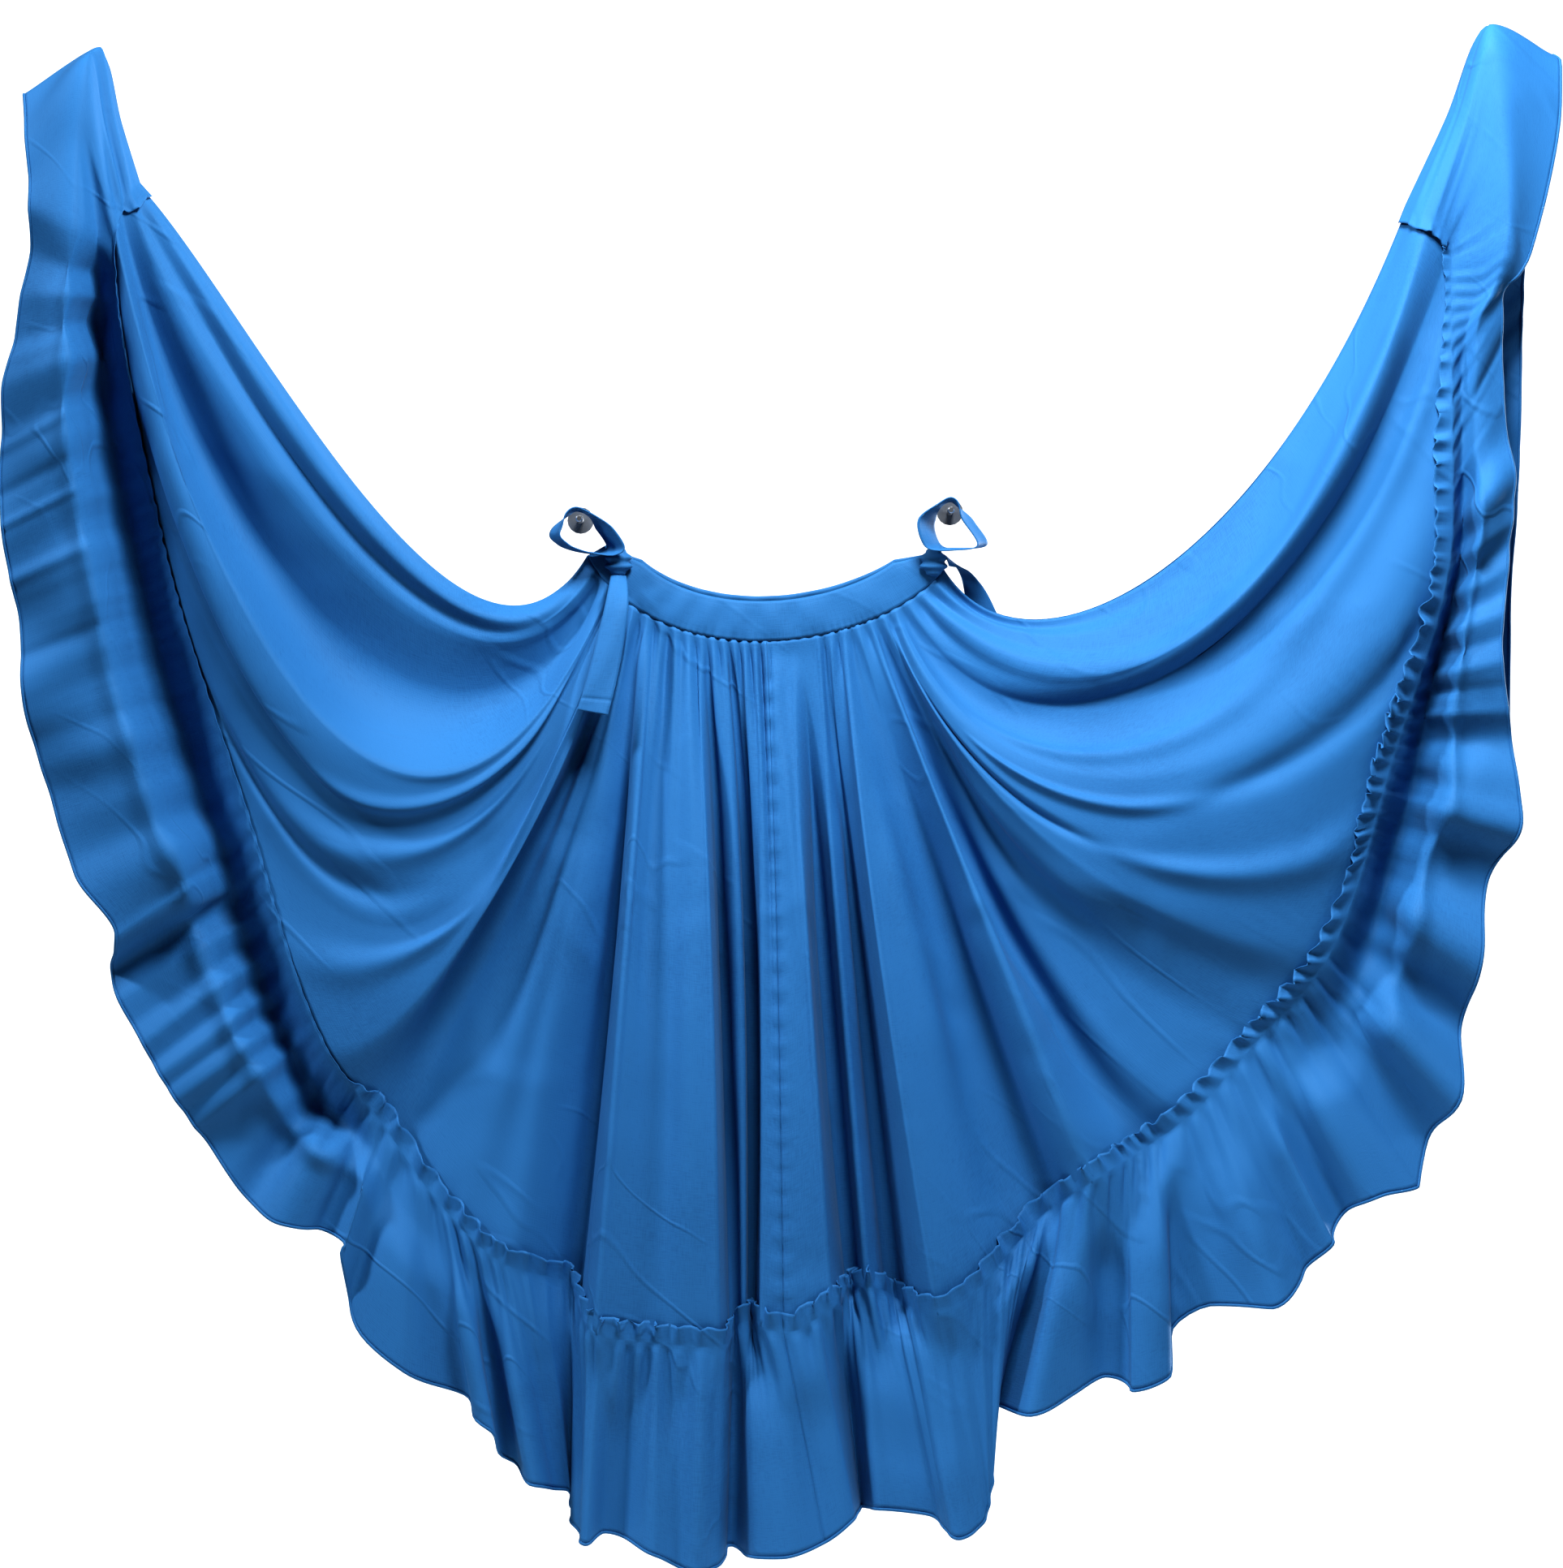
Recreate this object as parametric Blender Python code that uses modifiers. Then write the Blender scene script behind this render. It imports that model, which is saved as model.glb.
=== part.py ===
"""Full circle skirt with a gathered ruffle, hung up wide on four wall pegs.

The waistband hangs by its looped ties from two pegs and the front hem is hitched over two
more, so the cloth falls in deep swags at the sides and in plumb pleats at the centre.
The wall is the plane y = 0 and the front of the skirt faces -Y.  +Z is up.
The origin is on the wall, midway between the two waist pegs.
All sizes in the tables are millimetres: x to the right, z up, and "out" is the distance
that the cloth stands out from the wall.
"""
import math

import bmesh
import bpy
import numpy as np

MM = 0.001

# Cloth
CLOTH_WALL = 2.0
PANEL_CUT_LENGTH = 730.0
SEAM_GAP = 0.3
BAND_HEIGHT = 42.0
BAND_END_HEIGHT = 25.0
BAND_LEAN = 3.0
HEADER_HEIGHT = 17.0
HEADER_STAND = 5.0
HEADER_WAVE = 3.0
STITCH_STAND = 3.0
STITCH_DROP = 1.6
SHARPEST_MITRE = 0.36
GRAZING_FOLDS = (0.6, 0.9)
RUFFLE_WAVE = 5.0
ROOM_FOR_WAVE = 0.28
BACK_RUFFLE_WAVE = 3.0
GATHERS_FADE = 60.0
BACK_STAND_SHARE = 0.4
BACK_HEADER_SHARE = 0.7
SIDE_SEAM_TURN = 6.0
WAIST_FLAT = 0.02

# Wall pegs
PEG_RADIUS = 3.5
PEG_ROSE_RADIUS = 14.0
PEG_ROSE_DEPTH = 3.0
PEG_SIDES = 16
PEG_COLUMNS = ("peg", "x", "z", "length")
PEGS = (
    ("peg_waist_left", -197, -5, 68),
    ("peg_waist_right", 194, 4, 68),
    ("peg_hem_left", -707, 458, 62),
    ("peg_hem_right", 766, 498, 62),
)

# Ties: each loop as (x, z) points round it, each knot as (x, out, z) of its middle.
LOOP_OUTS = (38.0, 50.0, 62.0)
LOOP_FLARE = 0.15
LEFT_LOOP = ((-159, -33), (-177, -8), (-197, 5), (-210, 0), (-223, -20), (-215, -31),
             (-203, -37), (-186, -41), (-168, -42))
RIGHT_LOOP = ((196, 15), (178, 6), (168, -8), (171, -26), (180, -36), (202, -37),
              (227, -32), (213, -8))
LEFT_KNOT = (-156.0, 45.2, -50.0)
RIGHT_KNOT = (176.0, 43.2, -50.0)
KNOT_HALF_WIDTH = 14.0
KNOT_HALF_DEPTH = 8.0
KNOT_HALF_HEIGHT = 15.0
KNOT_PINCH = 0.12
KNOT_SIDES = 12
TAIL_FOLD = 3.0
TAIL_COLUMNS = ("x_left", "out_left", "z_left", "x_right", "out_right", "z_right")
LEFT_TAIL = (
    (-164, 45, -64.5, -148, 45, -64.5),
    (-166, 58, -77, -146, 58, -77),
    (-170, 72, -98, -145, 72, -96),
    (-180, 84, -140, -150, 84, -138),
    (-190, 92, -180, -158, 92, -180),
    (-198, 96, -206, -166, 96, -212),
)
RIGHT_TAIL = (
    (189, 44, -44, 192, 43, -54),
    (198, 30, -52, 210, 30, -58),
    (206, 16, -66, 226, 16, -72),
    (211, 8, -92, 240, 8, -96),
    (214, 6, -110, 246, 6, -112),
    (217, 6, -160, 249, 6, -160),
    (218, 6, -206, 250, 6, -204),
)

# Waist seam of the front band: a hanging curve between the ties, as (x, z) of its two ends
# and of the two points that pull it down, and how far it stands out at its ends and middle.
WAIST_CURVE = ((-189.0, -43.0), (-120.0, -172.0), (110.0, -150.0), (187.0, -58.0))
FRONT_WAIST_OUT = (34.0, 44.0)
BACK_WAIST_OUT = (25.0, 13.0)
BACK_WAIST_RISE = 6.0
BAND_STATIONS = 41
CURVE_SAMPLES = 200

# Swags of the left half: each fold line leaves the waist at x0, is pulled by the two
# points (x1, z1) and (x2, z2), and ends at the ruffle seam at (x3, z3).
SWAG_COLUMNS = ("fold", "x0", "x1", "z1", "x2", "z2", "x3", "z3", "knee_out", "seam_out", "steps")
LEFT_SWAGS = (
    ("side_fold", -189, -319, -258, -554, 236, -663, 348, 34, 40, 2),
    ("roll", -185, -321, -283, -562, 211, -666, 343, 76, 56, 2),
    ("roll_valley", -181, -322, -300, -580, 180, -669, 339, 58, 62, 2),
    ("crease", -176, -322, -313, -606, 150, -671, 334, 72, 68, 2),
    ("wide_valley", -170, -340, -398, -612, -15, -678, 321, 44, 72, 4),
    ("swag_crest", -164, -354, -516, -577, -162, -683, 295, 118, 88, 5),
    ("swag_under", -159, -328, -478, -506, -366, -641, 10, 96, 78, 4),
    ("left_edge_low", -154, -312, -523, -425, -487, -550, -300, 88, 80, 4),
    ("left_corner", -149, -239, -373, -377, -573, -463, -559, 94, 92, 3),
    ("long_valley", -146, -190, -300, -323, -483, -402, -644, 50, 68, 3),
    ("left_flat", -142, -186, -330, -284, -525, -340, -728, 62, 80, 3),
    ("left_ridge", -137, -178, -321, -246, -559, -272, -789, 74, 90, 3),
)

# Plumb pleats of the centre: x at the waist, at a third of the way down and at the seam.
PLEAT_COLUMNS = ("fold", "x_waist", "x_third", "x_seam", "z_seam", "knee_out", "seam_out", "steps")
CENTRE_PLEATS = (
    ("deep_valley", -130, -150, -208, -810, 52, 60, 2),
    ("front_pleat_edge", -120, -138, -176, -858, 122, 132, 2),
    ("front_pleat_dip", -96, -102, -123, -867, 106, 118, 2),
    ("front_pleat_end", -74, -58, -52, -872, 120, 122, 2),
    ("valley_a", -64, -43, -33, -857, 56, 91, 2),
    ("narrow_ridge", -51, -26, -24, -847, 88, 100, 2),
    ("valley_b", -38, -12, -15, -842, 52, 78, 2),
    ("seam_pleat_edge", -17, 1, -4, -850, 98, 114, 2),
    ("centre_seam", 0, 11, 18, -857, 104, 120, 2),
    ("seam_pleat_end", 25, 35, 66, -832, 106, 114, 2),
    ("valley_c", 38, 50, 90, -814, 52, 70, 2),
    ("inner_ridge", 51, 68, 106, -811, 82, 96, 2),
    ("valley_d", 64, 86, 134, -823, 52, 68, 2),
    ("right_pleat_edge", 80, 100, 179, -836, 118, 134, 3),
    ("valley_e", 95, 156, 294, -734, 54, 72, 3),
    ("right_ridge", 105, 183, 340, -700, 106, 116, 3),
)

# Swags of the right half, read as the left ones.
RIGHT_SWAGS = (
    ("right_valley", 113, 170, -290, 312, -580, 402, -663, 60, 78, 3),
    ("dark_flank_a", 118, 188, -280, 304, -530, 447, -629, 68, 84, 3),
    ("dark_flank_b", 122, 198, -280, 338, -505, 510, -559, 72, 82, 3),
    ("big_swag_crest", 126, 204, -321, 404, -453, 591, -459, 112, 98, 4),
    ("big_swag_mid", 131, 217, -364, 523, -423, 652, -266, 116, 100, 5),
    ("big_swag_top", 137, 221, -355, 566, -355, 717, -7, 118, 98, 4),
    ("upper_valley", 146, 250, -300, 549, -232, 719, 282, 76, 72, 3),
    ("upper_swag", 158, 276, -246, 544, -225, 697, 309, 104, 80, 3),
    ("right_roll_valley", 170, 263, -185, 543, -216, 686, 316, 78, 72, 3),
    ("right_side_fold", 187, 270, -190, 523, -76, 676, 325, 36, 42, 2),
)

# Back layer: it follows the routes of these front folds, close to the wall.
BACK_COLUMNS = ("fold", "knee_out", "seam_out", "steps")
BACK_FOLDS = (
    ("side_fold", 20, 26, 1),
    ("roll_valley", 18, 21, 1),
    ("wide_valley", 22, 16, 2),
    ("swag_crest", 15, 18, 3),
    ("swag_under", 26, 28, 3),
    ("left_edge_low", 20, 22, 3),
    ("left_corner", 15, 17, 3),
    ("left_flat", 26, 30, 3),
    ("front_pleat_edge", 14, 16, 2),
    ("front_pleat_end", 28, 34, 2),
    ("valley_b", 14, 16, 2),
    ("centre_seam", 20, 25, 2),
    ("valley_c", 26, 34, 2),
    ("right_pleat_edge", 14, 16, 2),
    ("right_ridge", 26, 32, 3),
    ("dark_flank_b", 15, 17, 2),
    ("big_swag_crest", 25, 28, 3),
    ("big_swag_mid", 15, 17, 3),
    ("big_swag_top", 24, 26, 3),
    ("upper_valley", 16, 18, 3),
    ("right_roll_valley", 16, 18, 3),
    ("right_side_fold", 20, 27, 2),
)

# Hem of the front ruffle.  "at" is the place along the ruffle seam, counted in front folds.
# The ruffle leaves the seam, tucks in, swells to "crest_out" halfway down and ends at the hem.
HEM_COLUMNS = ("at", "x", "z", "tuck_out", "crest_out", "hem_out")
FRONT_HEM = (
    (5.08, -769, 314, 84, 112, 92),
    (5.30, -788, 189, 56, 122, 88),
    (5.60, -803, 61, 50, 128, 86),
    (5.90, -798, -31, 50, 116, 96),
    (6.20, -782, -113, 52, 122, 86),
    (6.45, -777, -194, 50, 110, 104),
    (6.75, -754, -280, 50, 118, 86),
    (7.00, -722, -379, 54, 118, 104),
    (7.18, -679, -442, 56, 112, 116),
    (7.34, -686, -486, 50, 74, 76),
    (7.55, -653, -555, 54, 86, 88),
    (7.75, -626, -602, 58, 110, 104),
    (7.95, -592, -649, 60, 98, 82),
    (8.20, -548, -712, 60, 76, 92),
    (8.50, -510, -743, 66, 104, 108),
    (8.80, -467, -750, 70, 84, 84),
    (9.00, -441, -767, 76, 110, 116),
    (9.25, -436, -830, 76, 86, 86),
    (9.60, -378, -898, 82, 106, 112),
    (9.90, -312, -926, 86, 94, 88),
    (10.20, -287, -960, 90, 110, 114),
    (10.50, -266, -993, 90, 84, 86),
    (10.80, -240, -1017, 96, 104, 106),
    (11.40, -208, -1025, 88, 82, 78),
    (12.00, -204, -1044, 72, 70, 76),
    (13.00, -188, -1076, 128, 130, 136),
    (13.40, -169, -1065, 124, 114, 114),
    (14.20, -113, -1088, 120, 128, 138),
    (14.80, -72, -1105, 128, 134, 136),
    (15.20, -53, -1100, 118, 120, 122),
    (16.00, -38, -1082, 86, 82, 82),
    (17.00, -22, -1090, 102, 116, 114),
    (18.60, 17, -1089, 112, 130, 142),
    (20.00, 62, -1074, 126, 124, 130),
    (20.60, 91, -1051, 124, 120, 118),
    (21.30, 99, -1042, 88, 70, 74),
    (22.30, 119, -1041, 98, 110, 116),
    (23.40, 171, -1047, 98, 112, 116),
    (24.60, 200, -1069, 126, 134, 146),
    (25.20, 229, -1049, 122, 124, 126),
    (25.80, 235, -988, 110, 112, 112),
    (26.10, 240, -935, 90, 78, 76),
    (26.50, 274, -942, 104, 120, 130),
    (26.90, 317, -921, 110, 106, 104),
    (27.20, 355, -904, 108, 92, 92),
    (27.70, 383, -917, 102, 116, 122),
    (28.10, 414, -903, 98, 110, 108),
    (28.40, 423, -857, 96, 88, 88),
    (28.70, 465, -829, 96, 102, 104),
    (29.10, 527, -830, 98, 118, 128),
    (29.50, 564, -790, 94, 96, 94),
    (29.80, 593, -762, 92, 112, 116),
    (30.05, 605, -733, 90, 88, 88),
    (30.30, 642, -714, 86, 106, 110),
    (30.55, 683, -703, 80, 100, 112),
    (30.70, 694, -653, 76, 86, 86),
    (30.95, 725, -610, 72, 118, 120),
    (31.10, 727, -541, 68, 94, 92),
    (31.35, 744, -479, 64, 120, 120),
    (31.60, 754, -389, 62, 98, 96),
    (31.90, 788, -320, 62, 122, 118),
    (32.15, 778, -228, 66, 98, 98),
    (32.40, 768, -143, 70, 112, 110),
    (32.65, 776, -58, 74, 92, 88),
    (32.90, 783, 27, 78, 110, 84),
    (33.15, 772, 129, 80, 84, 74),
    (33.50, 771, 223, 78, 90, 80),
)

# Share of the header that shows, along the ruffle seam, counted in front folds.
HEADER_SHARE = ((0.0, 1.0), (2.8, 1.0), (4.0, 0.15), (8.4, 0.15), (8.8, 1.0), (33.2, 1.0), (33.8, 0.3),
                (37.0, 1.0))

# Hitched corners: the ruffle runs from the seam up over the peg at (x, z) and down to its hem.
HITCH_COLUMNS = ("at", "peg_x", "peg_z", "peg_out", "x", "z", "hem_out")
LEFT_HITCH = (
    (0.0, -699, 480, 26, -748, 380, 20),
    (1.2, -700, 488, 36, -766, 398, 28),
    (2.4, -702, 492, 48, -779, 426, 40),
    (3.4, -708, 490, 60, -783, 444, 54),
    (4.2, -714, 478, 74, -778, 414, 68),
    (4.8, -722, 420, 92, -772, 366, 82),
)
RIGHT_HITCH = (
    (34.0, 778, 330, 96, 800, 268, 84),
    (34.5, 768, 452, 82, 822, 352, 70),
    (35.0, 764, 498, 68, 834, 432, 56),
    (35.6, 763, 515, 54, 836, 478, 42),
    (36.3, 760, 516, 40, 830, 486, 30),
    (37.0, 756, 508, 28, 820, 470, 22),
)

# Hem of the back ruffle, read as the front one.  Its ends hang free at the side seams.
BACK_HEM = (
    (0.00, -772, 288, 22, 20, 18),
    (2.00, -778, 264, 18, 14, 12),
    (4.00, -784, 216, 15, 18, 18),
    (5.20, -788, 150, 18, 22, 22),
    (5.60, -790, 60, 20, 16, 14),
    (6.10, -776, -70, 26, 32, 30),
    (6.60, -752, -240, 24, 16, 14),
    (7.20, -690, -400, 20, 34, 32),
    (7.80, -612, -580, 18, 16, 14),
    (8.40, -520, -700, 20, 34, 34),
    (9.10, -436, -770, 22, 16, 14),
    (9.80, -330, -880, 28, 36, 36),
    (10.70, -250, -960, 26, 16, 14),
    (12.20, -190, -1020, 20, 36, 38),
    (13.60, -120, -1050, 20, 16, 14),
    (15.00, -60, -1060, 34, 40, 40),
    (17.00, -20, -1050, 22, 16, 14),
    (20.00, 40, -1050, 32, 38, 40),
    (21.80, 100, -1010, 18, 16, 14),
    (24.00, 170, -1010, 26, 38, 40),
    (25.60, 215, -970, 30, 16, 14),
    (26.60, 290, -890, 20, 36, 36),
    (28.00, 400, -850, 18, 16, 14),
    (29.20, 510, -790, 24, 36, 36),
    (30.10, 610, -700, 26, 16, 14),
    (30.90, 700, -590, 22, 34, 34),
    (31.50, 745, -430, 18, 16, 14),
    (32.10, 782, -250, 18, 32, 32),
    (32.60, 786, -90, 20, 16, 14),
    (33.00, 794, 60, 22, 28, 26),
    (33.40, 798, 200, 24, 18, 14),
    (33.80, 800, 280, 26, 30, 24),
    (34.60, 799, 304, 22, 20, 16),
    (36.00, 794, 332, 20, 22, 20),
    (37.00, 782, 352, 23, 18, 14),
)

# Rows of the walls, as shares of the way from the waist to the seam and from seam to hem.
PANEL_ROWS = (0.0, WAIST_FLAT, 0.07, 0.15, 0.27, 0.41, 0.55, 0.69, 0.84, 1.0)
BACK_PANEL_ROWS = (0.0, WAIST_FLAT, 0.12, 0.26, 0.42, 0.6, 0.8, 1.0)
RUFFLE_ROWS = np.array([0.08, 0.22, 0.5, 0.76, 1.0])
RUFFLE_KEYS = (0.0, 0.22, 0.5, 1.0)
GATHER_WIDTH = 18.0
BACK_GATHER_WIDTH = 32.0
GATHER_PATTERN = (0.0, 1.0, -1.0)
UNEVEN_STEP = 2.4
WAVE_AT_STITCH = 0.35

CLOTH_BLUE = (0.034, 0.165, 0.52, 1.0)
PEG_STEEL = (0.55, 0.56, 0.58, 1.0)


def clear_scene():
    """Remove every object that the file opened with."""
    for old in list(bpy.data.objects):
        bpy.data.objects.remove(old, do_unlink=True)


def make_collection(name):
    """A new collection in the scene."""
    collection = bpy.data.collections.new(name)
    bpy.context.scene.collection.children.link(collection)
    return collection


def make_material(name, colour, roughness, metallic):
    """A plain Principled material."""
    material = bpy.data.materials.new(name)
    material.use_nodes = True
    shader = material.node_tree.nodes["Principled BSDF"]
    shader.inputs["Base Color"].default_value = colour
    shader.inputs["Roughness"].default_value = roughness
    shader.inputs["Metallic"].default_value = metallic
    return material


def smooth_through(keys, values, wanted):
    """Cubic curve through the values that never swings past them (monotone Hermite)."""
    keys = np.asarray(keys, float)
    values = np.asarray(values, float)
    span = np.diff(keys)
    slope = np.diff(values, axis=0) / span[:, None]
    before, after = slope[:-1], slope[1:]
    weight_a = (2 * span[1:] + span[:-1])[:, None]
    weight_b = (span[1:] + 2 * span[:-1])[:, None]
    same_way = before * after > 0
    safe_before = np.where(same_way, before, 1.0)
    safe_after = np.where(same_way, after, 1.0)
    mean = (weight_a + weight_b) / (weight_a / safe_before + weight_b / safe_after)
    tangent = np.concatenate([slope[:1], np.where(same_way, mean, 0.0), slope[-1:]])
    part = np.clip(np.searchsorted(keys, wanted, side="right") - 1, 0, len(keys) - 2)
    s = ((wanted - keys[part]) / span[part])[:, None]
    h = span[part][:, None]
    from_value = (2 * s**3 - 3 * s**2 + 1) * values[part] + (3 * s**2 - 2 * s**3) * values[part + 1]
    from_slope = (s**3 - 2 * s**2 + s) * tangent[part] + (s**3 - s**2) * tangent[part + 1]
    return from_value + h * from_slope


def pulled_curve(p0, p1, p2, p3, share, cut_length=None):
    """Cubic Bezier from p0 to p3, read at even shares of its length.

    With a cut length, the upper rows keep their true distance from the waist, and the lower
    rows take up the slack.
    """
    s = np.linspace(0.0, 1.0, CURVE_SAMPLES)[:, None]
    back = 1.0 - s
    ends = back**3 * np.array(p0, float) + s**3 * np.array(p3, float)
    pulls = 3 * back**2 * s * np.array(p1, float) + 3 * back * s**2 * np.array(p2, float)
    points = ends + pulls
    length = np.concatenate([[0.0], np.cumsum(np.linalg.norm(np.diff(points, axis=0), axis=1))])
    share = np.asarray(share, float)
    if cut_length:
        pace = cut_length / length[-1]
        share = share * (1.0 + (pace - 1.0) * (1.0 - share) ** 2)
    return along(length / length[-1], points, share)


def waist_height(x):
    """Height of the waist seam at a given x."""
    curve = pulled_curve(*WAIST_CURVE, np.linspace(0.0, 1.0, 400))
    return np.interp(x, curve[:, 0], curve[:, 1])


def waist_share(x):
    """Share of the way along the waist seam, from 0 at the left tie to 1 at the right one."""
    return (x - WAIST_CURVE[0][0]) / (WAIST_CURVE[-1][0] - WAIST_CURVE[0][0])


def waist_bow(x):
    """1 along most of the waist seam, falling to 0 at both ties."""
    return 1.0 - (2.0 * waist_share(x) - 1.0) ** 4


def waist_out(x, ends_and_middle):
    """How far a half of the waistband stands out from the wall at a given x."""
    ends, middle = ends_and_middle
    return ends + (middle - ends) * waist_bow(x)


def stand_out(top_out, knee_out, seam_out, share):
    """Plumb just under the band, then a parabola through the knee at half way and the seam."""
    s = np.clip((np.asarray(share) - WAIST_FLAT) / (1.0 - WAIST_FLAT), 0.0, 1.0)
    at_start = 2.0 * (s - 0.5) * (s - 1.0)
    at_knee = -4.0 * s * (s - 1.0)
    at_end = 2.0 * s * (s - 0.5)
    return top_out * at_start + knee_out * at_knee + seam_out * at_end


def fold_routes():
    """Name and four pull points (x, z) of every front fold, with its depths and steps."""
    routes = []
    for row in LEFT_SWAGS:
        fold = dict(zip(SWAG_COLUMNS, row))
        routes.append(swag_route(fold))
    for row in CENTRE_PLEATS:
        fold = dict(zip(PLEAT_COLUMNS, row))
        routes.append(pleat_route(fold))
    for row in RIGHT_SWAGS:
        fold = dict(zip(SWAG_COLUMNS, row))
        routes.append(swag_route(fold))
    return routes


def swag_route(fold):
    """Pull points of a swag's fold line."""
    points = [(fold["x0"], float(waist_height(fold["x0"])))]
    points += [(fold["x%d" % i], fold["z%d" % i]) for i in (1, 2, 3)]
    return {"name": fold["fold"], "points": points, "knee": fold["knee_out"],
            "seam": fold["seam_out"], "steps": fold["steps"]}


def pleat_route(fold):
    """Pull points of a plumb pleat: almost straight down."""
    top = float(waist_height(fold["x_waist"]))
    fall = fold["z_seam"] - top
    x_low = (fold["x_third"] + fold["x_seam"]) / 2
    points = [(fold["x_waist"], top), (fold["x_third"], top + fall / 3),
              (x_low, top + 2 * fall / 3), (fold["x_seam"], fold["z_seam"])]
    return {"name": fold["fold"], "points": points, "knee": fold["knee_out"],
            "seam": fold["seam_out"], "steps": fold["steps"]}


def front_fold_lines(routes, rows):
    """Points (x, out, z) of every front fold at the given rows."""
    lines = []
    for route in routes:
        flat = pulled_curve(*route["points"], rows, PANEL_CUT_LENGTH)
        top_out = waist_out(route["points"][0][0], FRONT_WAIST_OUT)
        out = stand_out(top_out, route["knee"], route["seam"], rows)
        lines.append(np.stack([flat[:, 0], out, flat[:, 1]], axis=1))
    return np.array(lines)


def back_fold_lines(routes, rows):
    """Points (x, out, z) of the back folds, on the routes of the front folds they follow."""
    by_name = {route["name"]: route for route in routes}
    lines = []
    for name, knee, seam, _steps in BACK_FOLDS:
        points = by_name[name]["points"]
        flat = pulled_curve(*points, rows, PANEL_CUT_LENGTH)
        x = points[0][0]
        rise = BACK_WAIST_RISE * waist_bow(x) * (1.0 - np.asarray(rows))
        out = stand_out(waist_out(x, BACK_WAIST_OUT), knee, seam, rows)
        lines.append(np.stack([flat[:, 0], out, flat[:, 1] + rise], axis=1))
    return np.array(lines)


def stations(steps, marks):
    """Places along the seam: each fold's own mark and equal steps up to the next one."""
    places = []
    for i, count in enumerate(steps[:-1]):
        places.extend(np.linspace(marks[i], marks[i + 1], count, endpoint=False))
    places.append(marks[-1])
    return np.array(places)


def seam_marks(lines):
    """Length along the seam at each fold line."""
    gaps = np.linalg.norm(np.diff(lines[:, -1], axis=0), axis=1)
    return np.concatenate([[0.0], np.cumsum(gaps)])


def loft(marks, lines, places):
    """Smooth wall through the fold lines, one column for each place."""
    rows = [smooth_through(marks, lines[:, j], places) for j in range(lines.shape[1])]
    return np.stack(rows, axis=1)


def turned_edge(edge, turn):
    """A copy of an edge column, moved straight towards the wall (or away, if negative)."""
    moved = edge.copy()
    moved[:, 1] -= turn
    return moved[None]


def unit(vectors):
    """Vectors of length one."""
    return vectors / np.maximum(np.linalg.norm(vectors, axis=-1, keepdims=True), 1e-9)


def wall_normals(grid):
    """Outward normals of a front wall grid (they point away from the house wall)."""
    across = np.gradient(grid, axis=0)
    down = np.gradient(grid, axis=1)
    return unit(np.cross(across, down))


def mitred_edge_normals(grid):
    """Three directions at each column of a panel's lower edge.

    The normals, lengthened in its folds so that an offset stays parallel.  The directions square
    to the edge, into the panel.  The way up the folds, or square to the edge where the folds
    run along it."""
    across = np.diff(grid[:, -1], axis=0)
    down = unit(grid[:, -1] - grid[:, -2])
    facet = unit(np.cross(across, (down[1:] + down[:-1]) / 2))
    facet = np.concatenate([facet[:1], facet, facet[-1:]])
    middle = unit(facet[1:] + facet[:-1])
    half_turn = np.maximum(np.sum(middle * facet[1:], axis=1), SHARPEST_MITRE)
    tangent = unit(np.gradient(grid[:, -1], axis=0))
    square = unit(np.cross(middle, tangent))
    square *= -np.sign(np.sum(square * down, axis=1))[:, None]
    along_seam = np.abs(np.sum(tangent * down, axis=1))
    grazing = np.interp(along_seam, GRAZING_FOLDS, (0.0, 1.0))[:, None]
    up_folds = unit(square * grazing - down * (1.0 - grazing))
    return middle / half_turn[:, None], square, up_folds


def column_room(grid):
    """How far apart the columns of a wall are at each point."""
    gaps = np.linalg.norm(np.diff(grid, axis=0), axis=2)
    return np.minimum(np.concatenate([gaps[:1], gaps]), np.concatenate([gaps, gaps[-1:]]))


def uneven(count):
    """Sizes of the gathers, between 0.6 and 1, never repeating in step."""
    return 0.8 + 0.2 * np.sin(UNEVEN_STEP * np.arange(count))


def split(grid, index):
    """Two grids that meet at a column, each set back by the seam gap and by what its wall
    needs where the cloth bends at the seam."""
    left = grid[: index + 1].copy()
    right = grid[index:].copy()
    towards_left = unit(left[-2] - left[-1])
    towards_right = unit(right[1] - right[0])
    half_bend = np.linalg.norm(towards_left + towards_right, axis=1, keepdims=True) / 2
    set_back = SEAM_GAP + CLOTH_WALL / 2 * half_bend / np.sqrt(1.0 - half_bend**2)
    left[-1] += towards_left * set_back
    right[0] += towards_right * set_back
    return left, right


def wall_object(name, grid, material, collection, round_column=False):
    """A cloth wall: the grid as an open surface, given its thickness by Solidify."""
    columns, rows = grid.shape[:2]
    points = grid.reshape(-1, 3) * MM
    places = np.stack([points[:, 0], -points[:, 1], points[:, 2]], axis=1)
    number = np.arange(columns * rows).reshape(columns, rows)
    after = np.roll(number, -1, axis=0) if round_column else number[1:]
    before = number if round_column else number[:-1]
    quads = np.stack([before[:, :-1], after[:, :-1], after[:, 1:], before[:, 1:]], axis=-1)
    mesh = bpy.data.meshes.new(name)
    mesh.from_pydata(places.tolist(), [], quads.reshape(-1, 4).tolist())
    mesh.materials.append(material)
    mesh.shade_smooth()
    wall = bpy.data.objects.new(name, mesh)
    collection.objects.link(wall)
    solid = wall.modifiers.new("cloth wall", "SOLIDIFY")
    solid.thickness = CLOTH_WALL * MM
    solid.offset = 0.0
    solid.use_quality_normals = True
    return wall


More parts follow.
